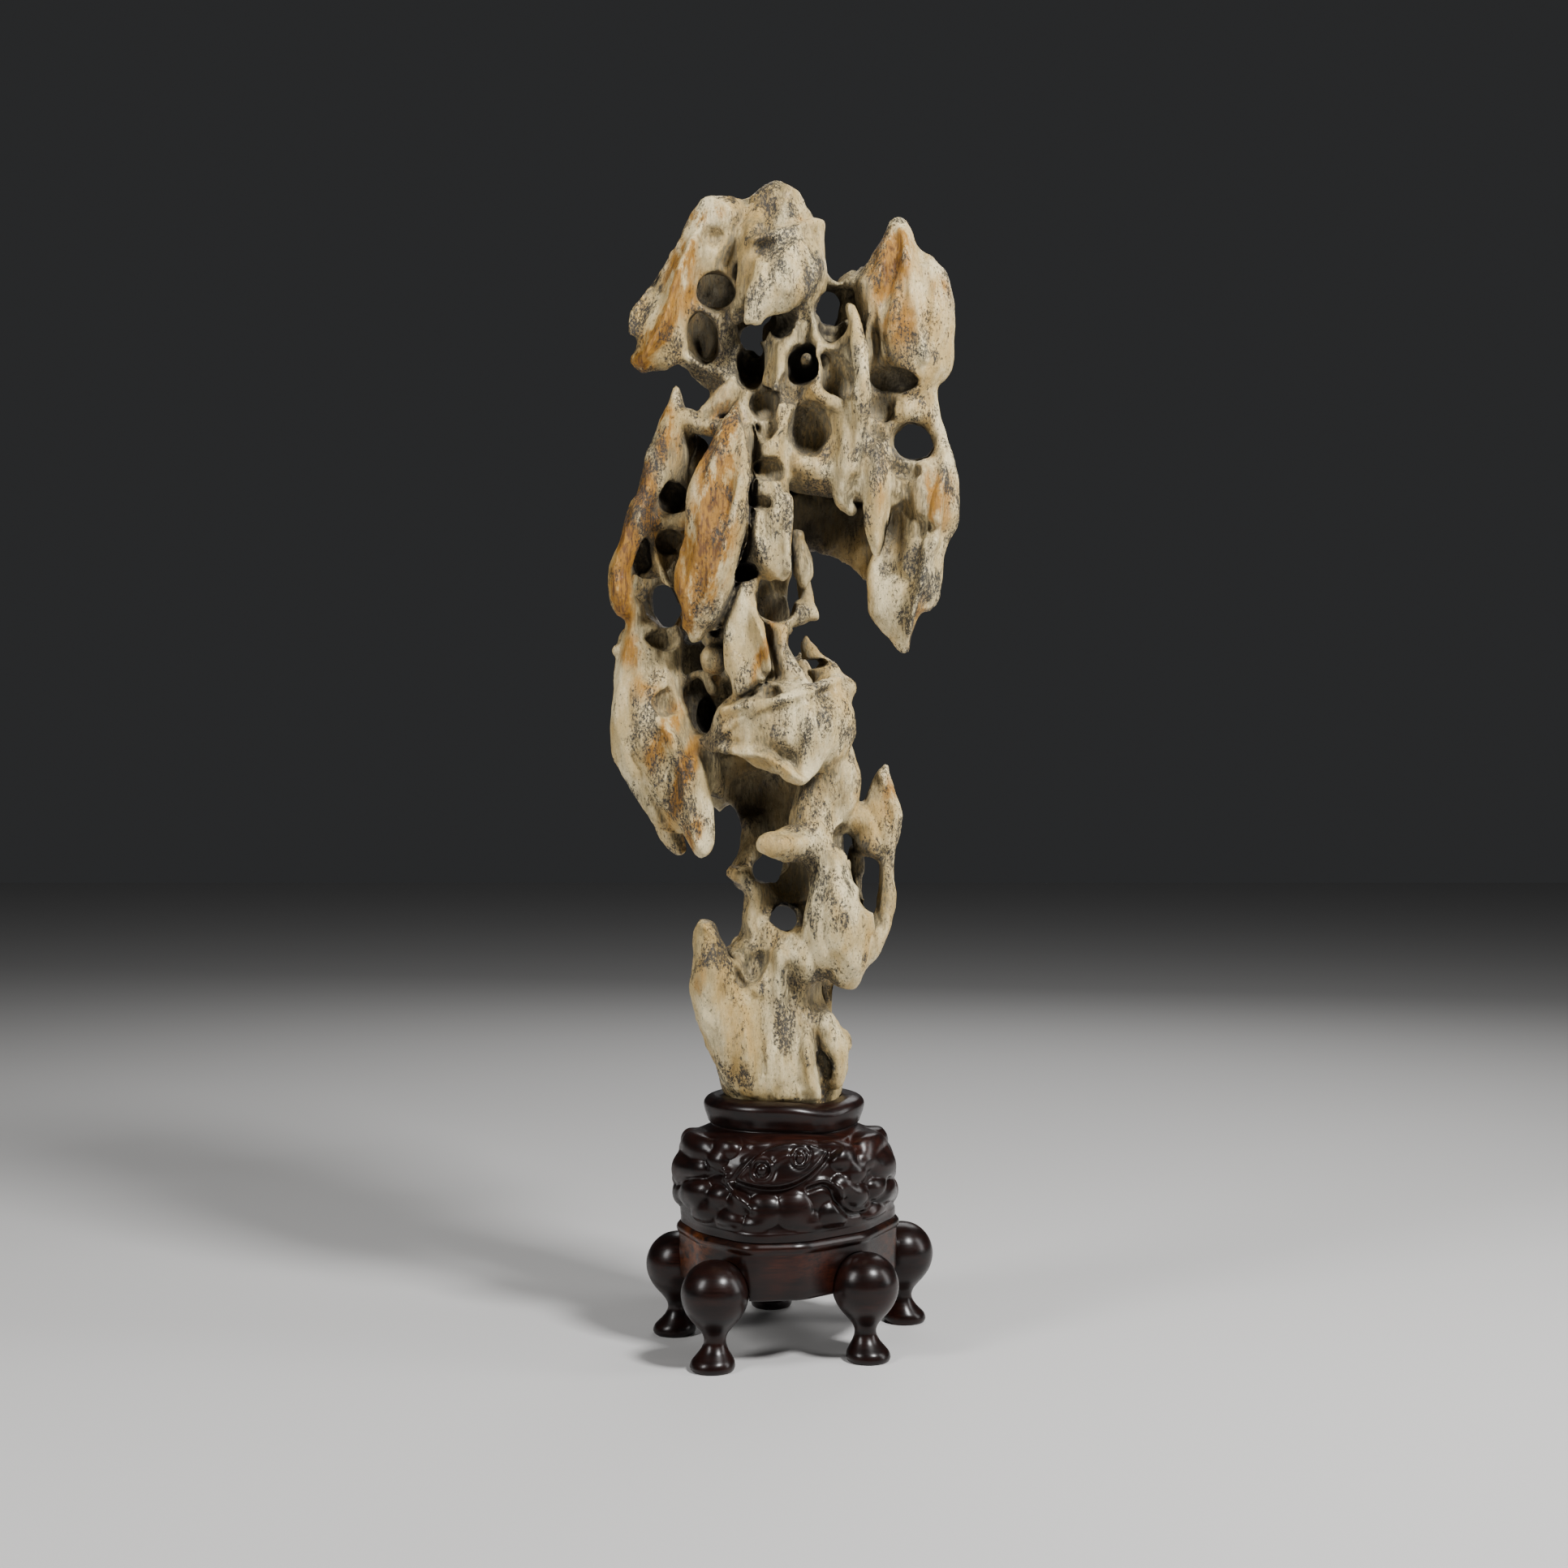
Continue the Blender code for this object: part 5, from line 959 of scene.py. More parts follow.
def closed_in(thing):
    """Share of the rays from each vertex that meet the stone close by."""
    tree = surface_of(thing.data)
    fan = ray_fan(RAYS)
    values = np.empty(len(thing.data.vertices))
    for index, vert in enumerate(thing.data.vertices):
        turn = vert.normal.to_track_quat('Z', 'Y')
        start = vert.co + vert.normal * RAY_START * MM
        blocked = 0.0
        for ray in fan:
            far = tree.ray_cast(start, turn @ ray, RAY_REACH * MM)[3]
            if far is not None:
                blocked += 1.0 - (far / (RAY_REACH * MM)) ** 2
        values[index] = blocked / RAYS
    return values


def store(thing, name, values):
    """Keep one value for each vertex under a name that the material can read."""
    layer = thing.data.attributes.new(name, 'FLOAT', 'POINT')
    layer.data.foreach_set("value", np.clip(values, 0.0, 1.0))


shade = closed_in(stone)
store(stone, "closed_in", shade)
print("closed in, on average:", round(float(shade.mean()), 3))

# %% Spots of stain, crust and shade
# (across, up, half width, half height, tilt, strength).
OCHRE_SPOTS = [
    (-64, 660, 7, 22, -22, 1.0), (-76, 625, 8, 26, -30, 0.9), (-88, 602, 8, 10, 0, 0.8),
    (-48, 694, 16, 9, 20, 0.6), (-60, 645, 16, 22, 0, 0.35), (-75, 565, 9, 26, 10, 0.8),
    (-86, 525, 8, 34, 12, 1.0), (-97, 495, 8, 30, 12, 0.9), (-101, 458, 8, 22, 0, 1.1),
    (-95, 425, 12, 12, 0, 0.5), (-40, 535, 12, 40, 0, 1.2), (-48, 490, 14, 36, -10, 1.2),
    (-60, 458, 9, 22, 0, 1.0), (-30, 570, 5, 10, 0, 0.6), (-74, 372, 7, 24, -25, 0.8),
    (-62, 345, 6, 26, -15, 0.9), (-56, 312, 6, 14, -12, 0.9), (-85, 400, 18, 20, 0, 0.3),
    (-12, 428, 4, 20, -18, 0.9), (66, 664, 12, 26, -14, 0.8), (96, 650, 7, 14, 20, 0.4),
    (70, 628, 18, 22, 0, 0.4), (58, 660, 6, 18, -16, 0.4), (60, 525, 5, 30, 0, 0.25),
    (94, 520, 14, 26, 0, 0.45), (84, 450, 6, 20, -20, 0.35), (66, 335, 7, 22, 0, 0.35),
    (-54, 210, 5, 30, -8, 0.3), (40, 200, 5, 24, 0, 0.2), (12, 690, 12, 5, 0, 0.25),
    (-46, 404, 6, 16, -12, 0.5), (18, 592, 5, 14, 0, 0.2),
]
# Crust spots thicken the dark specks; the first, on the wing's recessed face left of its ridge, is painted
# shade.
CRUST_AND_SHADE_SPOTS = [
    (-78, 652, 6, 28, -27, 1.0), (-12, 705, 20, 9, 0, 0.9), (6, 700, 9, 9, 0, 0.7),
    (-3, 660, 22, 20, 0, 0.45), (14, 660, 9, 20, 0, 0.6), (-8, 632, 14, 8, 0, 0.5),
    (96, 640, 8, 22, 0, 0.55), (82, 662, 12, 14, 0, 0.35), (104, 520, 8, 24, 0, 0.9),
    (92, 480, 12, 24, -15, 0.7), (78, 445, 8, 20, 0, 0.6), (-26, 548, 4, 26, 0, 0.9),
    (-36, 496, 4, 24, -20, 0.9), (-50, 460, 4, 18, -28, 0.8), (38, 262, 16, 26, 0, 0.6),
    (50, 240, 8, 16, 0, 0.6), (64, 330, 6, 26, 0, 0.7), (62, 350, 6, 6, 0, 0.8), (10, 375, 16, 14, 0, 0.3),
    (-40, 690, 14, 8, 0, 0.35), (44, 600, 5, 30, 0, 0.35), (-20, 385, 14, 10, 0, 0.25),
    (-45, 245, 8, 12, 0, 0.4), (-14, 206, 2.5, 34, 2, 0.9), (-24, 190, 3, 26, -6, 0.55),
    (0, 195, 3, 26, 0, 0.5), (27, 166, 6, 14, 10, 0.7), (-10, 505, 10, 16, 0, 0.25),
    (-90, 480, 8, 40, 0, 0.25),
]
# The same for painted shade on the walls and pit floors that stand back inside the stone.
PAINTED_SHADE_SPOTS = [
    (22, 500, 40, 20, 0, 1.0), (-5, 455, 14, 15, 0, 0.8), (-17, 335, 32, 26, 0, 1.0),
    (5, 283, 16, 14, 0, 0.6), (-41, 648, 14, 12, 0, 0.8), (-50, 618, 11, 17, 0, 0.9),
    (-27, 655, 5, 26, 0, 0.7), (68, 592, 14, 8, 0, 0.8), (60, 576, 9, 10, 0, 0.5),
    (-70, 520, 9, 11, 0, 0.7), (-72, 490, 12, 12, 0, 0.6), (-50, 388, 14, 20, 0, 1.0),
    (-48, 420, 12, 16, 0, 0.7), (5, 425, 12, 16, 0, 0.5), (-2, 627, 9, 8, 0, 0.8),
    (30, 505, 20, 10, 0, 0.8), (-22, 474, 10, 8, 0, 0.8), (-10, 572, 12, 14, 0, 0.45),
    (16, 570, 12, 10, 0, 0.4), (36, 307, 9, 12, 0, 0.5), (66, 492, 9, 20, 0, 0.35),
    (-40, 345, 6, 18, 0, 0.5),
]
SPOT_EDGE = 1.1               # how sharply a spot ends at its rim
SPOT_TURN = 1.6               # how soon it fades where the skin turns away
BACK_SHARE = 0.45             # how strongly it shows on the far side of the stone
PAINTED_SHADE_BACK = -24.0            # painted shade begins at this depth,
PAINTED_SHADE_FADE = 12.0             # is full this much further back
PAINTED_SHADE_REAR = 30               # and ends here


def spots(thing, listed, set_back=None):
    """Soft oval spots, each fading out over its edge and fainter on the far side."""
    places, normals = read_mesh(thing.data)
    across, up = elevation_of(places)
    facing = np.clip(BACK_SHARE - normals[:, 1] * SPOT_TURN, BACK_SHARE, 1.0)
    if set_back is not None:
        depths = places[:, 1] / MM
        facing = np.clip((depths - set_back) / PAINTED_SHADE_FADE, 0.0, 1.0) * (depths < PAINTED_SHADE_REAR)
    total = np.zeros(len(places))
    for *oval, strength in listed:
        total = np.maximum(total, strength * np.exp(-SPOT_EDGE * oval_distance(across, up, *oval) ** 2))
    return total * facing


TIP_EASE = 3 * MM             # tips that reach past the frame's box are eased back in this depth
store(stone, "ochre", spots(stone, OCHRE_SPOTS))
# the crust mask also carries one spot of painted shade, on the wing's recessed face
store(stone, "crust", spots(stone, CRUST_AND_SHADE_SPOTS))
# this mask is painted shade on the walls and pit floors that stand back, not dirt
store(stone, "gloom", spots(stone, PAINTED_SHADE_SPOTS, PAINTED_SHADE_BACK))
places = read_mesh(stone.data)[0] + np.array(AXIS_SHIFT)
for axis in (0, 2):
    for limit, side in ((CAD_BOX[0][axis], -1), (CAD_BOX[1][axis], 1)):
        over = (places[:, axis] - limit) * side + TIP_EASE
        eased = limit + side * (TIP_EASE * (1 - np.exp(-np.maximum(over, 0) / TIP_EASE)) - TIP_EASE)
        places[:, axis] = np.where(over > 0, eased, places[:, axis])
write_mesh(stone.data, places)
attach(stone, "root")
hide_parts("stone")
print("the stone is painted and stands in its place")

# %% [markdown]
# ## The carved block
#
# The block is a ring of points raised to its profile and then carved: an almond-shaped medallion
# with two ringed eyelets, a scroll and folds in front, and soft bosses all round. Carving this fine
# is neither an extrusion nor a bevel; it is a height over the turned surface. So a dense skin is
# raised first, and each cut or boss then moves it in or out along its normal.

# %% Raise the block densely
RING_STEP = 0.85


def densely(profile, step):
    """The profile as smooth rings about one step apart."""
    fine = spline(profile, 24)
    kept = fine[:1]
    for ring in fine[1:-1]:
        if math.dist(ring[:3], kept[-1][:3]) >= step:
            kept.append(ring)
    return kept + fine[-1:]


block_radii = rounded_plan(PLAN_SIDES, BLOCK_SOFT)
block = raise_rings("stand_block", stack(densely(BLOCK_PROFILE, RING_STEP), block_radii))
print("the block has", len(block.data.polygons), "faces")

# %% Carvings of the front, set out on the front elevation
# Bosses: (across, up, radius, height). Eyelets: (across, up, radius). Cuts and ridges follow
# points across the surface: ([points], half width, depth).
BOSSES_FRONT = [
    (-52, 122, 12, 6.5), (-35, 121, 9, 5), (-41, 112, 7, 3.5), (-65, 107, 11, 6), (-55, 106, 8, 4),
    (-54, 91, 10, 6), (-40, 88, 8, 4.5), (-28, 84, 8, 4.5), (-48, 80, 9, 5), (-33, 74, 9, 4),
    (-12, 80, 11, 3.8), (6, 80, 12, 3.2), (16, 70, 10, 2.2), (-18, 70, 9, 2.4), (-17, 130, 12, 3.5),
    (8, 132, 12, 3.5), (30, 126, 10, 4.5), (36, 113, 9, 5.5), (43, 104, 8, 5), (36, 95, 8, 4.5),
    (44, 90, 8, 4.5), (52, 122, 10, 6.5), (50, 112, 8, 5), (63, 109, 11, 6), (66, 124, 9, 6),
    (60, 93, 9, 5), (70, 94, 9, 5), (30, 76, 9, 4), (56, 78, 8, 4), (-70, 90, 9, 5), (-68, 122, 9, 6),
]
EYELETS = [(-13, 104.5, 6.5), (9.5, 111.5, 5.2)]
MEDALLION = (-1, 107, 29, 12, 16, 4.6)    # across, up, half width, half height, tilt, height
CUTS_FRONT = [
    ([(-58, 99), (-50, 99.5), (-42, 102), (-34, 103)], 1.5, 1.8),
    ([(-25, 111), (-14, 118), (0, 123), (13, 123), (24, 118)], 1.3, 1.3),
    ([(15, 93), (24, 95.5), (30, 92), (33, 84), (40, 77.5), (50, 79.5), (58, 89), (63, 100)], 1.6, 2.6),
]
RIDGES_FRONT = [
    ([(-36, 104), (-32, 95), (-26, 88), (-19, 80)], 2.6, 2.8),
    ([(15, 96.5), (25, 98.5), (32, 94), (35, 86), (41, 80.5), (49, 82)], 1.5, 1.6),
]
RIDGES_MEDALLION = [
    ([(-7, 107), (-1, 111), (4, 112)], 2.2, 1.6), ([(15, 112), (22, 114), (27, 113)], 1.8, 1.0),
]
print("carvings:", sum(map(len, (BOSSES_FRONT, EYELETS, CUTS_FRONT, RIDGES_FRONT, RIDGES_MEDALLION))))

# %% Carve the front and the round of the block
# Bosses round the sides and the back: (angle, up, radius, height), counter-clockwise from +X.
BOSSES_ROUND = [
    (15, 122, 10, 4), (20, 96, 11, 4), (38, 110, 10, 3.5), (55, 92, 11, 4), (62, 122, 10, 4),
    (80, 104, 13, 4), (100, 118, 10, 4), (104, 90, 11, 3.5), (122, 106, 12, 4), (140, 122, 10, 4),
    (144, 92, 11, 3.5), (160, 108, 10, 4), (172, 124, 8, 3.5), (176, 92, 9, 3.5), (2, 108, 8, 3),
]
BLOCK_ROUND = 66.0            # the block's mean radius
BOSS_SPREAD = 1.3             # the bosses round the back are this much wider than listed
BOSS_RISE = 1.6               # and this much higher
BLOCK_WAIST = 80.0            # the carving fades out below this
BLOCK_NECK = 132.0            # and above this
SOCKET_CLEAR = 45.0           # nothing nearer to the axis is carved
WAIST_FADE = 4
NECK_FADE = 5
CARVE_TURN = 2.2              # how soon the front's carving gives way to the round's
CARVE_WEAR = 1
BEND_SIDE = 7                 # degrees by which the round's bosses are bent out of round
BEND_UP = 4                   # and millimetres
FOLD_HIGH = 1.1               # slanting folds between the round's bosses
EYELET_KNOB = (2.6, 0.5)      # height, and radius as a share of the eyelet's
# Rings round a knob, and round the medallion's rim: (height, distance, half width).
EYELET_RINGS = [(-1.2, 0.62, 0.14), (1.0, 0.9, 0.14), (-0.8, 1.2, 0.16)]
RIM_RINGS = [(1.0, 1.4, 0.9), (-1.4, -1.8, 1.0)]
RIM_SLOPE = 0.8               # turns the medallion's outline into a distance from its rim
RIM_RISE = 1.6                # over which distance the medallion rises
RIM_CLEAR = 5                 # and over which the bosses round it give way
DISH_DEEP = 0.8               # the medallion's middle lies a little lower
DISH_WIDE = 8


def lump(distance, height):
    """A round lump, steep at its foot, so that two lumps meet in a valley."""
    return height * np.clip(1 - distance ** 2, 0, 1) ** 0.7


def band(distance, middle, wide):
    """One where a distance is near a value, fading out on both sides."""
    return np.exp(-((distance - middle) / wide) ** 2)


def rings_round(distance, rings):
    """Beads and grooves that follow a rim: (height, distance, half width)."""
    return sum(height * band(distance, middle, wide) for height, middle, wide in rings)


def eyelet(across, up, x, z, radius):
    """A knob in a ring, as a drill and a gouge leave them."""
    distance = np.hypot(across - x, up - z) / radius
    high, wide = EYELET_KNOB
    knob = high * np.sqrt(np.clip(1 - (distance / wide) ** 2, 0, 1))
    return knob + rings_round(distance, EYELET_RINGS)


def front_carving(across, up):
    *oval, height = MEDALLION
    push = np.zeros(len(across))
    for x, z, radius, rise in BOSSES_FRONT:
        push = np.cbrt(push ** 3 + lump(np.hypot(across - x, up - z) / radius, rise) ** 3)
    push = push - line_relief(across, up, CUTS_FRONT) + line_relief(across, up, RIDGES_FRONT)
    x, z, wide, high, tilt = oval
    turn = math.radians(tilt)
    along = ((across - x) * math.cos(turn) + (up - z) * math.sin(turn)) / wide
    over = ((up - z) * math.cos(turn) - (across - x) * math.sin(turn)) / high
    almond = (1 - along ** 2 - np.abs(over)) * high * RIM_SLOPE
    inside = np.clip(almond / RIM_RISE + 0.5, 0, 1)
    push = push * (1 - np.clip(almond / RIM_CLEAR + 1.2, 0, 1)) + height * inside
    push += rings_round(almond, RIM_RINGS) - DISH_DEEP * np.clip(almond / DISH_WIDE, 0, 1)
    push += line_relief(across, up, RIDGES_MEDALLION)
    for row in EYELETS:
        push = push + eyelet(across, up, *row)
    return push


def round_carving(angles, up):
    """Bosses of uneven outline, and slanting folds between them, on the block unrolled."""
    turns = np.radians(angles)
    bent_angles = angles + BEND_SIDE * np.sin(up / 6.5 + turns * 3)
    bent_up = up + BEND_UP * np.sin(turns * 7 + up / 11.0)
    push = FOLD_HIGH * np.sin(turns * 9 + up / 5.5) * np.sin(up / 9.0 + 1.0)
    for turn, height_up, radius, height in BOSSES_ROUND:
        along = np.radians((bent_angles - turn + 180) % 360 - 180) * BLOCK_ROUND
        distance = np.hypot(along, bent_up - height_up) / radius
        swell = lump(distance / BOSS_SPREAD, height * BOSS_RISE)
        push = np.cbrt(np.maximum(push, 0) ** 3 + swell ** 3) + np.minimum(push, 0)
    return push


def carve_block(thing):
    places, normals = read_mesh(thing.data)
    across, up = elevation_of(places)
    heights = places[:, 2] / MM
    belt = np.clip((heights - BLOCK_WAIST) / WAIST_FADE, 0, 1)
    belt = belt * np.clip((BLOCK_NECK - heights) / NECK_FADE, 0, 1)
    radii = np.hypot(places[:, 0], places[:, 1]) / MM
    belt = belt * (radii > SOCKET_CLEAR)
    angles = np.degrees(np.arctan2(places[:, 1], places[:, 0]))
    front = np.clip(0.5 - normals[:, 1] * CARVE_TURN, 0, 1)
    push = front_carving(across, up) * front + round_carving(angles, heights) * (1 - front)
    write_mesh(thing.data, places + normals * (push * belt)[:, None] * MM)


carve_block(block)
wear(block, CARVE_WEAR)
print("the block is carved")

# %% The collar dips a little at the front, where the stone's foot leans
COLLAR_DIP = 3.6
DIP_ACROSS = (28, 16)         # where the dip is deepest, and its half width
DIP_FRONT = (8, 26)           # where it begins in front of the axis, and over what it deepens
DIP_RISE = 8


def dip_collar(thing):
    places, _ = read_mesh(thing.data)
    across = places[:, 0] / MM
    high = np.clip((places[:, 2] / MM - SOCKET_FLOOR) / DIP_RISE, 0, 1)
    near = np.clip((-places[:, 1] / MM - DIP_FRONT[0]) / DIP_FRONT[1], 0, 1)
    places[:, 2] -= COLLAR_DIP * high * near * band(across, *DIP_ACROSS) * MM
    write_mesh(thing.data, places)


dip_collar(block)
print("the collar's top is at", round(max(vert.co.z for vert in block.data.vertices) / MM, 1), "mm")

# %% [markdown]
# ## The apron
#
# The apron is a slab with eleven upright faces that meet in soft corners, a bead along its top
# edge and a recess turned into its underside. It is raised from the plan, ring by ring; the
# recess and the seats of the legs' round heads are cut with booleans.

# %% Raise the apron and cut its underside
APRON_PROFILE = [(APRON_FOOT, -2.0), (APRON_FOOT + 0.5, -0.9), (APRON_FOOT + 1.5, -0.2), (APRON_FOOT + 3, 0),
                 (54, 0.3), (66.4, 0.5), (67.2, 0.4), (67.8, 0.7), (68.6, 1.6), (70.4, 2.1), (72.2, 1.6),
                 (73.0, 0.8), (73.6, 0.4), (GROOVE_UP, -0.4)]
APRON_HOLLOW = 46.0
APRON_HOLLOW_DEEP = 12.0
LEG_BULB = 20.0
LEG_BULB_UP = 44.0
SEAT_EASE = 0.5
# Each leg stands at (across, along) and turns its toe outwards by an angle from +X.
LEGS = {
    "leg_front_left": (-40.5, -64, 237),
    "leg_front_right": (48.5, -43, 313),
    "leg_side_right": (75, 46, 30),
    "leg_side_left": (-66, 17, 172),
    "leg_back": (-8, 84, 97),
}

apron_radii = rounded_plan(PLAN_SIDES, APRON_SOFT)
rings = [[(PLAN_CENTRE[0] + (radius + out) * math.cos(2 * math.pi * side / PLAN_SIDES),
           PLAN_CENTRE[1] + (radius + out) * math.sin(2 * math.pi * side / PLAN_SIDES), up)
          for side, radius in enumerate(apron_radii)] for up, out in APRON_PROFILE]
apron = raise_rings("stand_slab", rings)
bpy.ops.mesh.primitive_cylinder_add(vertices=96, radius=APRON_HOLLOW * MM,
                                    depth=2 * APRON_HOLLOW_DEEP * MM,
                                    location=(*(value * MM for value in PLAN_CENTRE), APRON_FOOT * MM))
tools = [bpy.context.active_object]
for across, along, _ in LEGS.values():
    bpy.ops.mesh.primitive_uv_sphere_add(segments=64, ring_count=32, radius=(LEG_BULB + SEAT_EASE) * MM,
                                         location=(across * MM, along * MM, LEG_BULB_UP * MM))
    tools.append(bpy.context.active_object)
for tool in tools:
    finish_with(apron, 'BOOLEAN', operation='DIFFERENCE', solver='MANIFOLD', object=tool)
    bpy.data.objects.remove(tool, do_unlink=True)
print("the apron has", len(apron.data.polygons), "faces")

# %% [markdown]
# ## The legs
#
# A leg is turned on a lathe: a flat sole, a flared foot, a thin ankle and a ball for a head. One
# ring of points is extruded and set to size from the sole up, and its foot leans out to its toe.
# The finished leg is copied to its five places, each copy with its own mesh and turned its own way.

# %% Turn one leg
LEG_SIDES = 72
# (radius, up, how far the ring leans to the toe), from the sole up.
LEG_PROFILE = [
    (9.0, 0, 2.5), (11.5, 0, 2.5), (12.6, 0.7, 2.5), (13.2, 2, 2.5), (13.3, 3.2, 2.4), (12.6, 5.8, 2.0),
    (10.6, 8.6, 1.2), (8.6, 11.4, 0.5), (7.0, 14.6, 0.1), (6.5, 17, 0), (6.7, 19, 0), (7.9, 21.8, 0),
    (10.6, 25.2, 0), (14.0, 29, 0), (17.0, 33.3, 0), (19.1, 38.2, 0), (LEG_BULB, LEG_BULB_UP, 0),
    (19.2, 49.6, 0), (16.6, 55.2, 0), (12.6, 59.5, 0), (8.0, 62.3, 0), (3.0, 63.6, 0),
]


def turn_leg(name):
    """One leg over the middle of the floor, its toe along +X."""
    rings = [[(radius * math.cos(2 * math.pi * side / LEG_SIDES) + lean,
               radius * math.sin(2 * math.pi * side / LEG_SIDES), up)
              for side in range(LEG_SIDES)] for radius, up, lean in spline(LEG_PROFILE, 3) if up >= 0]
    return raise_rings(name, rings)


def stand_leg(pattern, name, across, along, toe_turn):
    """A copy of the leg with a mesh of its own, turned and moved to its place."""
    leg = pattern.copy()
    leg.data = pattern.data.copy()
    leg.name = name
    bpy.context.scene.collection.objects.link(leg)
    place = Matrix.Translation(Vector((across, along, 0)) * MM)
    leg.data.transform(place @ Matrix.Rotation(math.radians(toe_turn), 4, 'Z'))
    return leg


pattern = turn_leg("leg_pattern")
legs = {name: stand_leg(pattern, name + "_turned", *place) for name, place in LEGS.items()}
bpy.data.objects.remove(pattern, do_unlink=True)
print("legs:", list(legs))

# %% Put the wooden pieces in their places
EDGE_ANGLE = math.radians(40)
wooden = {"stand_body": block, "stand_apron": apron, **legs}
for node, piece in wooden.items():
    piece.data.transform(Matrix.Translation(AXIS_SHIFT))
    pick(piece)
    if piece is block:
        bpy.ops.object.shade_smooth()
    else:
        bpy.ops.object.shade_smooth_by_angle(angle=EDGE_ANGLE)
    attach(piece, "root")
    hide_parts(node)
# Where hands and dusters have thinned the dark stain: (across, up, half width, half height, tilt, strength).
WORN_SPOTS = [(-56, 54, 9, 18, 0, 0.9), (-34, 55, 9, 14, 0, 0.12), (66, 58, 6, 14, 0, 0.25)]
for piece in (block, apron):
    store(piece, "closed_in", closed_in(piece))
store(apron, "worn", spots(apron, WORN_SPOTS))
print("wooden pieces:", [piece.name for piece in wooden.values()])

# %% [markdown]
# ## Shared effects as node groups
#
# Two effects are used on stone and wood alike, so each is a node group with its own inputs:
# a grain that runs along one axis, and a mask that grows where the surface is closed in: grey
# dirt and painted shade in the stone's hollows, dust in the wood's carving. A group
# gives out only colours, masks and heights; the shader stays in the material.

# %% Helpers that build node trees


def socket_in(tree, name, kind, value):
    socket = tree.interface.new_socket(name, in_out='INPUT', socket_type=kind)
    socket.default_value = value


def node(tree, kind, **settings):
    made = tree.nodes.new(kind)
    for name, value in settings.items():
        if name.startswith("_"):
            made.inputs[name[1:].replace("_", " ")].default_value = value
        else:
            setattr(made, name, value)
    return made


def math_node(tree, operation, first, second):
    made = tree.nodes.new('ShaderNodeMath')
    made.operation = operation
    for index, value in enumerate((first, second)):
        if isinstance(value, (int, float)):
            made.inputs[index].default_value = value
        else:
            tree.links.new(value, made.inputs[index])
    return made.outputs[0]


def times(tree, *values):
    """The product of several values."""
    return reduce(lambda first, second: math_node(tree, 'MULTIPLY', first, second), values)


def plus(tree, *values):
    """The sum of several values."""
    return reduce(lambda first, second: math_node(tree, 'ADD', first, second), values)


def ramp(tree, value, low, high, from_low=0.0, from_high=1.0, smooth=True):
    """Spread one range of a value over another, clamped."""
    made = tree.nodes.new('ShaderNodeMapRange')
    made.interpolation_type = 'SMOOTHSTEP' if smooth else 'LINEAR'
    tree.links.new(value, made.inputs["Value"])
    for name, number in (("From Min", from_low), ("From Max", from_high), ("To Min", low), ("To Max", high)):
        made.inputs[name].default_value = number
    return made.outputs["Result"]


def mix_colour(tree, factor, first, second, blend='MIX'):
    made = tree.nodes.new('ShaderNodeMix')
    made.data_type = 'RGBA'
    made.blend_type = blend
    for socket, value in ((made.inputs[0], factor), (made.inputs[6], first), (made.inputs[7], second)):
        if isinstance(value, tuple):
            socket.default_value = (*value, 1.0)
        elif isinstance(value, (int, float)):
            socket.default_value = value
        else:
            tree.links.new(value, socket)
    return made.outputs[2]


def noise_of(tree, vector, scale, detail=3.0, rough=0.55, stretch=None):
    """A noise value on Object coordinates, stretched along an axis if asked."""
    if stretch:
        mapping = tree.nodes.new('ShaderNodeMapping')
        mapping.inputs["Scale"].default_value = stretch
        tree.links.new(vector, mapping.inputs["Vector"])
        vector = mapping.outputs[0]
    made = node(tree, 'ShaderNodeTexNoise', _Scale=scale, _Detail=detail, _Roughness=rough)
    tree.links.new(vector, made.inputs["Vector"])
    return made.outputs["Fac"]


def mask(tree, name):
    made = tree.nodes.new('ShaderNodeAttribute')
    made.attribute_name = name
    return made.outputs["Fac"]


print("node helpers are ready")

# %% The two groups


def group(name, inputs, outputs):
    tree = bpy.data.node_groups.new(name, 'ShaderNodeTree')
    for row in inputs:
        socket_in(tree, *row)
    for out_name, kind in outputs:
        tree.interface.new_socket(out_name, in_out='OUTPUT', socket_type=kind)
    return tree, tree.nodes.new('NodeGroupInput'), tree.nodes.new('NodeGroupOutput')


grain_group, begin, end = group(
    "Running grain", [("Vector", 'NodeSocketVector', (0, 0, 0)), ("Scale", 'NodeSocketFloat', 60.0)],
    [("Tone", 'NodeSocketFloat'), ("Height", 'NodeSocketFloat')])
wide_noise = node(grain_group, 'ShaderNodeTexNoise', _Detail=4.0, _Roughness=0.6)
fine_noise = node(grain_group, 'ShaderNodeTexNoise', _Detail=2.0, _Roughness=0.7)
grain_group.links.new(begin.outputs["Vector"], wide_noise.inputs["Vector"])
grain_group.links.new(begin.outputs["Vector"], fine_noise.inputs["Vector"])
grain_group.links.new(begin.outputs["Scale"], wide_noise.inputs["Scale"])
grain_group.links.new(times(grain_group, begin.outputs["Scale"], 4.3), fine_noise.inputs["Scale"])
grain_group.links.new(ramp(grain_group, wide_noise.outputs["Fac"], 0, 1, 0.3, 0.7), end.inputs["Tone"])
both = plus(grain_group, wide_noise.outputs["Fac"], times(grain_group, fine_noise.outputs["Fac"], 0.5))
grain_group.links.new(both, end.inputs["Height"])

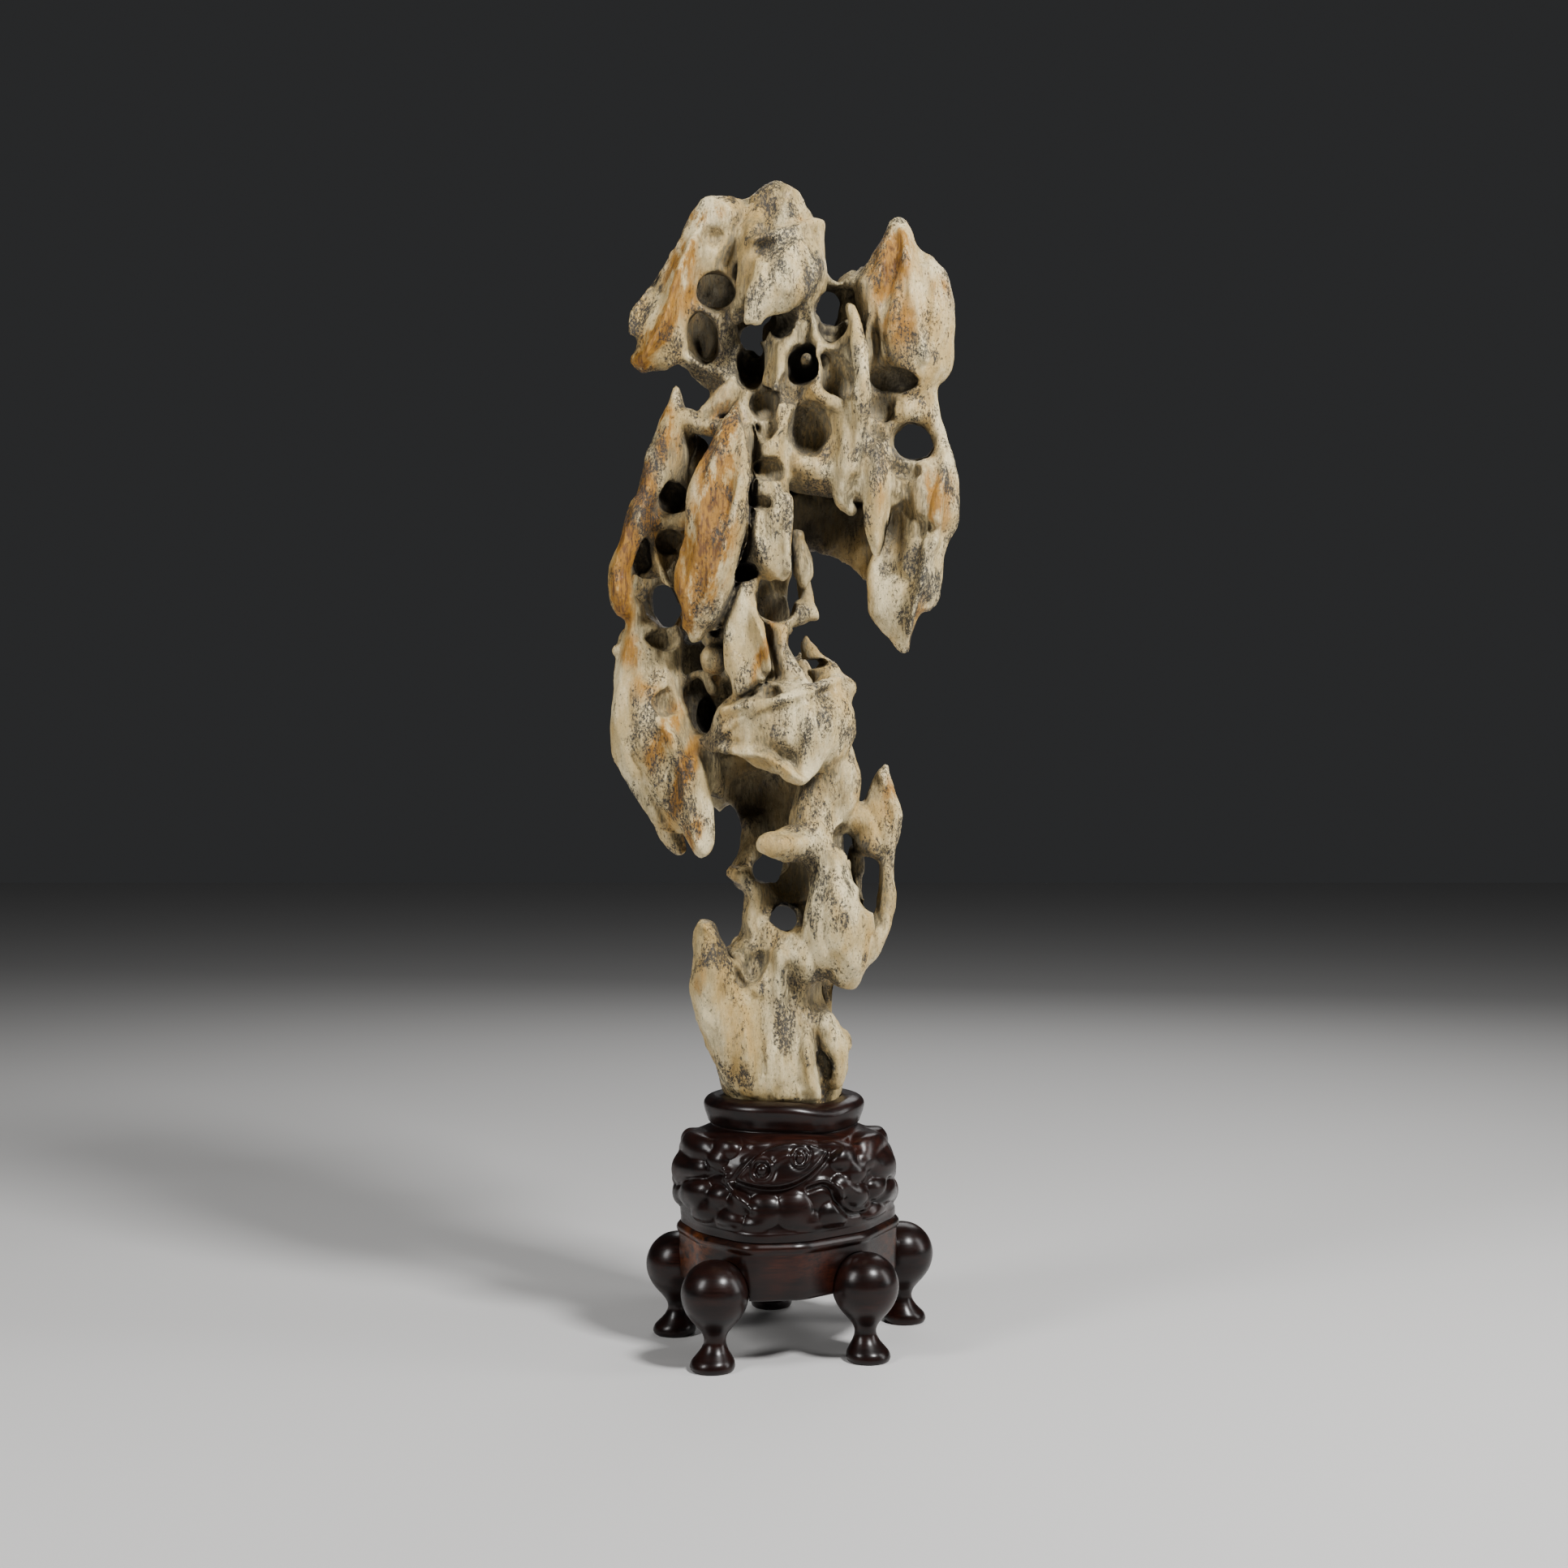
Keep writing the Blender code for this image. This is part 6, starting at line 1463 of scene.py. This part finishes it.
hollow_dirt_and_shade_group, begin, end = group(
    "Dirt and painted shade in hollows", [("Closed in", 'NodeSocketFloat', 0.0), ("Vector", 'NodeSocketVector', (0, 0, 0)),
                        ("Start", 'NodeSocketFloat', 0.2), ("Full", 'NodeSocketFloat', 0.6)],
    [("Mask", 'NodeSocketFloat')])
patches = node(hollow_dirt_and_shade_group, 'ShaderNodeTexNoise', _Scale=90.0, _Detail=4.0, _Roughness=0.65)
hollow_dirt_and_shade_group.links.new(begin.outputs["Vector"], patches.inputs["Vector"])
uneven = times(hollow_dirt_and_shade_group, math_node(hollow_dirt_and_shade_group, 'SUBTRACT', patches.outputs["Fac"], 0.5), 0.35)
spread = node(hollow_dirt_and_shade_group, 'ShaderNodeMapRange', interpolation_type='SMOOTHSTEP')
hollow_dirt_and_shade_group.links.new(plus(hollow_dirt_and_shade_group, begin.outputs["Closed in"], uneven), spread.inputs["Value"])
hollow_dirt_and_shade_group.links.new(begin.outputs["Start"], spread.inputs["From Min"])
hollow_dirt_and_shade_group.links.new(begin.outputs["Full"], spread.inputs["From Max"])
hollow_dirt_and_shade_group.links.new(spread.outputs["Result"], end.inputs["Mask"])
print("groups:", [tree.name for tree in bpy.data.node_groups])

# %% [markdown]
# ## The stone's material
#
# Polished limestone is ivory with soft upright streaks, and its colour changes in patches. Over
# that lie the stored masks: ochre where iron stained it, grey-black crust broken into specks, and
# grey dirt mixed with painted shade that grows browner and darker as a hole closes in, with painted
# shade on the walls that stand back. Polish lives on the outer faces: the hollows and the crust are
# rougher.

# %% Colours of the stone and how a material begins
IVORY = (0.66, 0.495, 0.22)
PALE = (0.98, 0.83, 0.48)
TAN = (0.50, 0.30, 0.10)
HONEY = (0.62, 0.385, 0.10)
OCHRE = (0.46, 0.205, 0.008)
RUST = (0.16, 0.062, 0.010)
CRUST = (0.030, 0.028, 0.026)
SMOKE = (0.10, 0.08, 0.05)
# DEEP is painted shade for the deepest hollows; GREY is grey dirt mixed with painted shade
DEEP = (0.012, 0.008, 0.004)
GREY = (0.20, 0.17, 0.11)
OLIVE = (0.20, 0.165, 0.085)
# painted shade, nearly black, for the walls that stand back
PAINTED_SHADE = (0.030, 0.021, 0.011)


def begin_material(name):
    material = bpy.data.materials.new(name)
    material.use_nodes = True
    tree = material.node_tree
    shader = tree.nodes["Principled BSDF"]
    coords = tree.nodes.new('ShaderNodeTexCoord').outputs["Object"]
    return material, tree, shader, coords


def use_group(tree, group_tree, **links):
    made = tree.nodes.new('ShaderNodeGroup')
    made.node_tree = group_tree
    for name, value in links.items():
        socket = made.inputs[name.replace("_", " ")]
        if isinstance(value, (int, float)):
            socket.default_value = value
        else:
            tree.links.new(value, socket)
    return made


def bump(tree, height, strength, distance, shader):
    made = node(tree, 'ShaderNodeBump', _Strength=strength, _Distance=distance)
    tree.links.new(height, made.inputs["Height"])
    tree.links.new(made.outputs["Normal"], shader.inputs["Normal"])


# %% The stone's ground: ivory, pale clouds, tan washes that are partly painted shade in hollows, and upright streaks
stone_look, tree, shader, coords = begin_material("stone_polished")
stretched = tree.nodes.new('ShaderNodeMapping')
stretched.inputs["Scale"].default_value = (1.0, 1.0, 0.16)
stretched.inputs["Rotation"].default_value = (0.10, 0.16, 0.0)
tree.links.new(coords, stretched.inputs["Vector"])
streaks = use_group(tree, grain_group, Vector=stretched.outputs[0], Scale=170.0)
hatching = use_group(tree, grain_group, Vector=stretched.outputs[0], Scale=620.0)
grain = use_group(tree, grain_group, Vector=coords, Scale=900.0)
closed = mask(tree, "closed_in")
clouds = noise_of(tree, coords, 38.0, 6.0, 0.62, (1.0, 1.0, 0.5))
colour = mix_colour(tree, ramp(tree, clouds, 0, 1, 0.40, 0.58), IVORY, PALE)
# Honey and olive washes are random tones, and are also drawn into the hollows by how closed in they are:
# there they are painted shade.
honey_noise = noise_of(tree, coords, 42.0, 5.0, 0.62, (1.0, 1.0, 0.32))
honey_and_hollow_shade = ramp(tree, plus(tree, honey_noise, times(tree, closed, 0.15)), 0, 0.80, 0.45, 0.66)
colour = mix_colour(tree, honey_and_hollow_shade, colour, HONEY)
washes = noise_of(tree, coords, 34.0, 7.0, 0.68, (1.0, 1.0, 0.45))
olive_wash_and_hollow_shade = ramp(tree, plus(tree, washes, times(tree, closed, 0.55)), 0, 1, 0.46, 0.74)
hatched = ramp(tree, hatching.outputs["Tone"], 0.45, 1.0, 0.2, 0.8)
colour = mix_colour(tree, times(tree, olive_wash_and_hollow_shade, hatched), colour, OLIVE)
colour = mix_colour(tree, times(tree, streaks.outputs["Tone"], 0.16), colour, TAN)

# %% Ochre, smoky mottling and crust over the ground
ochre_noise = noise_of(tree, coords, 60.0, 7.0, 0.7, (1.0, 1.0, 0.35))
ochre = times(tree, mask(tree, "ochre"), ramp(tree, ochre_noise, 0.2, 1.6, 0.38, 0.62))
colour = mix_colour(tree, ramp(tree, ochre, 0, 0.96, 0.05, 0.6), colour, OCHRE)
colour = mix_colour(tree, times(tree, ramp(tree, ochre, 0, 1.0, 0.25, 1.1), hatched, hatched), colour, RUST)
patches = noise_of(tree, coords, 45.0, 4.0, 0.62, (1.0, 1.0, 0.5))
cluster = plus(tree, ramp(tree, patches, 0.0, 1.0, 0.46, 0.60), times(tree, mask(tree, "crust"), 0.55))
mottle_noise = noise_of(tree, coords, 300.0, 8.0, 0.80, (1.0, 1.0, 0.40))
mottle = plus(tree, times(tree, cluster, 0.11), mottle_noise)
mottle = ramp(tree, mottle, 0, 0.72, 0.545, 0.70)
colour = mix_colour(tree, mottle, colour, SMOKE)
specks = noise_of(tree, coords, 800.0, 5.0, 0.8, (1.0, 1.0, 0.6))
crust = ramp(tree, plus(tree, times(tree, cluster, 0.12), specks), 0, 0.95, 0.588, 0.655)
colour = mix_colour(tree, crust, colour, CRUST)
colour = mix_colour(tree, times(tree, ramp(tree, grain.outputs["Tone"], 0, 1), 0.14), colour, SMOKE)

# %% Painted shade and dirt, polish and relief of the stone
# Painted shade: the walls and pit floors that stand back are darkened to nearly black.
gloom = times(tree, mask(tree, "gloom"), ramp(tree, patches, 0.75, 1.0, 0.4, 0.6))
colour = mix_colour(tree, gloom, colour, PAINTED_SHADE)
# Grey dirt mixed with painted shade grows as a hollow closes in; the deepest hollows are painted near black
# as shade.
dirt_and_shade = use_group(tree, hollow_dirt_and_shade_group, Closed_in=closed, Vector=coords, Start=0.28, Full=0.56)
deep = use_group(tree, hollow_dirt_and_shade_group, Closed_in=closed, Vector=coords, Start=0.52, Full=0.80)
colour = mix_colour(tree, times(tree, dirt_and_shade.outputs["Mask"], hatched, 0.75), colour, GREY)
colour = mix_colour(tree, times(tree, deep.outputs["Mask"], 0.97), colour, DEEP)
tree.links.new(colour, shader.inputs["Base Color"])
rough = ramp(tree, grain.outputs["Tone"], 0.34, 0.48)
rough = plus(tree, rough, times(tree, dirt_and_shade.outputs["Mask"], 0.35), times(tree, crust, 0.15))
tree.links.new(rough, shader.inputs["Roughness"])
height = plus(tree, streaks.outputs["Height"], times(tree, grain.outputs["Height"], 0.15),
              times(tree, mottle_noise, 1.6))
height = math_node(tree, 'SUBTRACT', height, times(tree, plus(tree, mottle, crust), 0.3))
bump(tree, height, 0.9, 0.0011, shader)
stone.data.materials.clear()
stone.data.materials.append(stone_look)
print("stone nodes:", len(tree.nodes))

# %% [markdown]
# ## The wood's material
#
# The stand is a dark rosewood, stained nearly black and polished: long grain runs across the
# pieces, with red-brown lights where the stain is thin, amber where the apron's edge is worn, and
# dull dust in the carving. A thin coat gives the broad soft lights on the balls of the legs.

# %% Dark polished rosewood
WOOD_DARK = (0.0035, 0.0016, 0.0014)
WOOD_BROWN = (0.013, 0.004, 0.0028)
WOOD_RED = (0.055, 0.011, 0.004)
WOOD_AMBER = (0.30, 0.085, 0.018)
DUST = (0.016, 0.012, 0.010)

wood_look, tree, shader, coords = begin_material("rosewood_dark")
along = tree.nodes.new('ShaderNodeMapping')
along.inputs["Scale"].default_value = (0.12, 1.0, 1.6)
along.inputs["Rotation"].default_value = (0.0, 0.08, 0.12)
tree.links.new(coords, along.inputs["Vector"])
figure = use_group(tree, grain_group, Vector=along.outputs[0], Scale=120.0)
pores = use_group(tree, grain_group, Vector=along.outputs[0], Scale=520.0)
colour = mix_colour(tree, figure.outputs["Tone"], WOOD_DARK, WOOD_BROWN)
lights = noise_of(tree, coords, 26.0, 3.0, 0.5, (0.6, 1.0, 1.0))
red = times(tree, ramp(tree, lights, 0, 1, 0.50, 0.72), pores.outputs["Tone"])
colour = mix_colour(tree, times(tree, red, 0.7), colour, WOOD_RED)
worn = times(tree, mask(tree, "worn"), ramp(tree, figure.outputs["Height"], 0, 1, 0.55, 1.0))
colour = mix_colour(tree, times(tree, worn, 0.7), colour, WOOD_AMBER)
dust = use_group(tree, hollow_dirt_and_shade_group, Closed_in=mask(tree, "closed_in"), Vector=coords, Start=0.25, Full=0.7)
colour = mix_colour(tree, times(tree, dust.outputs["Mask"], 0.35), colour, DUST)
tree.links.new(colour, shader.inputs["Base Color"])
rough = ramp(tree, pores.outputs["Tone"], 0.28, 0.38)
rough = plus(tree, rough, times(tree, dust.outputs["Mask"], 0.3))
tree.links.new(rough, shader.inputs["Roughness"])
bump(tree, pores.outputs["Height"], 0.12, 0.0003, shader)
for name, value in (("Coat Weight", 0.34), ("Coat Roughness", 0.24), ("Specular IOR Level", 0.16)):
    shader.inputs[name].default_value = value
for piece in wooden.values():
    piece.data.materials.clear()
    piece.data.materials.append(wood_look)
print("wood nodes:", len(tree.nodes))

# %% [markdown]
# ## Floor, light and camera
#
# A plain pale floor and four plain soft lights: a strong key from the right, a wide one from the
# left, a tall one low on the right and a faint one behind. The polish of the stone and the wood
# shows as broad, even highlights. The camera stands level with the middle of the stone and looks
# straight ahead, so upright lines stay upright.

# %% The floor
FLOOR_HALF = 6.0
FLOOR_COLOUR = (0.62, 0.61, 0.60)
bpy.ops.object.select_all(action='DESELECT')
bpy.ops.mesh.primitive_plane_add(size=2 * FLOOR_HALF, location=(0, 0, 0))
floor = bpy.context.active_object
floor.name = "floor"
floor_look, tree, shader, coords = begin_material("floor_plain")
shader.inputs["Base Color"].default_value = (*FLOOR_COLOUR, 1.0)
shader.inputs["Roughness"].default_value = 0.9
floor.data.materials.append(floor_look)
print("floor:", 2 * FLOOR_HALF, "m")

# %% Light and camera
# (name, place, size in metres, power in watts), each aimed at the stone's middle.
LIGHTS = [
    ("light_key", (0.75, -0.85, 1.40), (0.28, 0.28), 38.0),
    ("light_right", (1.25, -0.15, 0.65), (0.35, 0.9), 7.0),
    ("light_left", (-1.05, -0.80, 1.00), (0.35, 0.6), 13.0),
    ("light_behind", (0.3, 1.4, 1.3), (1.2, 0.8), 8.0),
]
SKY = (0.90, 0.92, 0.95)
SKY_STRENGTH = 0.03
AIM = Vector((0, 0, 0.36))

for name, place, (wide, high), power in LIGHTS:
    bpy.ops.object.light_add(type='AREA', location=place)
    lamp = bpy.context.active_object
    lamp.name = name
    lamp.data.shape = 'RECTANGLE'
    lamp.data.size, lamp.data.size_y = wide, high
    lamp.data.energy = power
    lamp.rotation_euler = (AIM - Vector(place)).to_track_quat('-Z', 'Y').to_euler()
world = bpy.data.worlds.new("studio")
world.use_nodes = True
sky = world.node_tree.nodes["Background"]
sky.inputs["Color"].default_value = (*SKY, 1.0)
sky.inputs["Strength"].default_value = SKY_STRENGTH
bpy.context.scene.world = world

LENS = 48.3
SENSOR = 36.0
camera_place = EYE + AXIS_SHIFT
bpy.ops.object.camera_add(location=camera_place, rotation=(math.radians(90), 0, 0))
camera = bpy.context.active_object
camera.data.lens = LENS
camera.data.sensor_width = SENSOR
bpy.context.scene.camera = camera
print("camera at", tuple(round(value, 4) for value in camera_place))
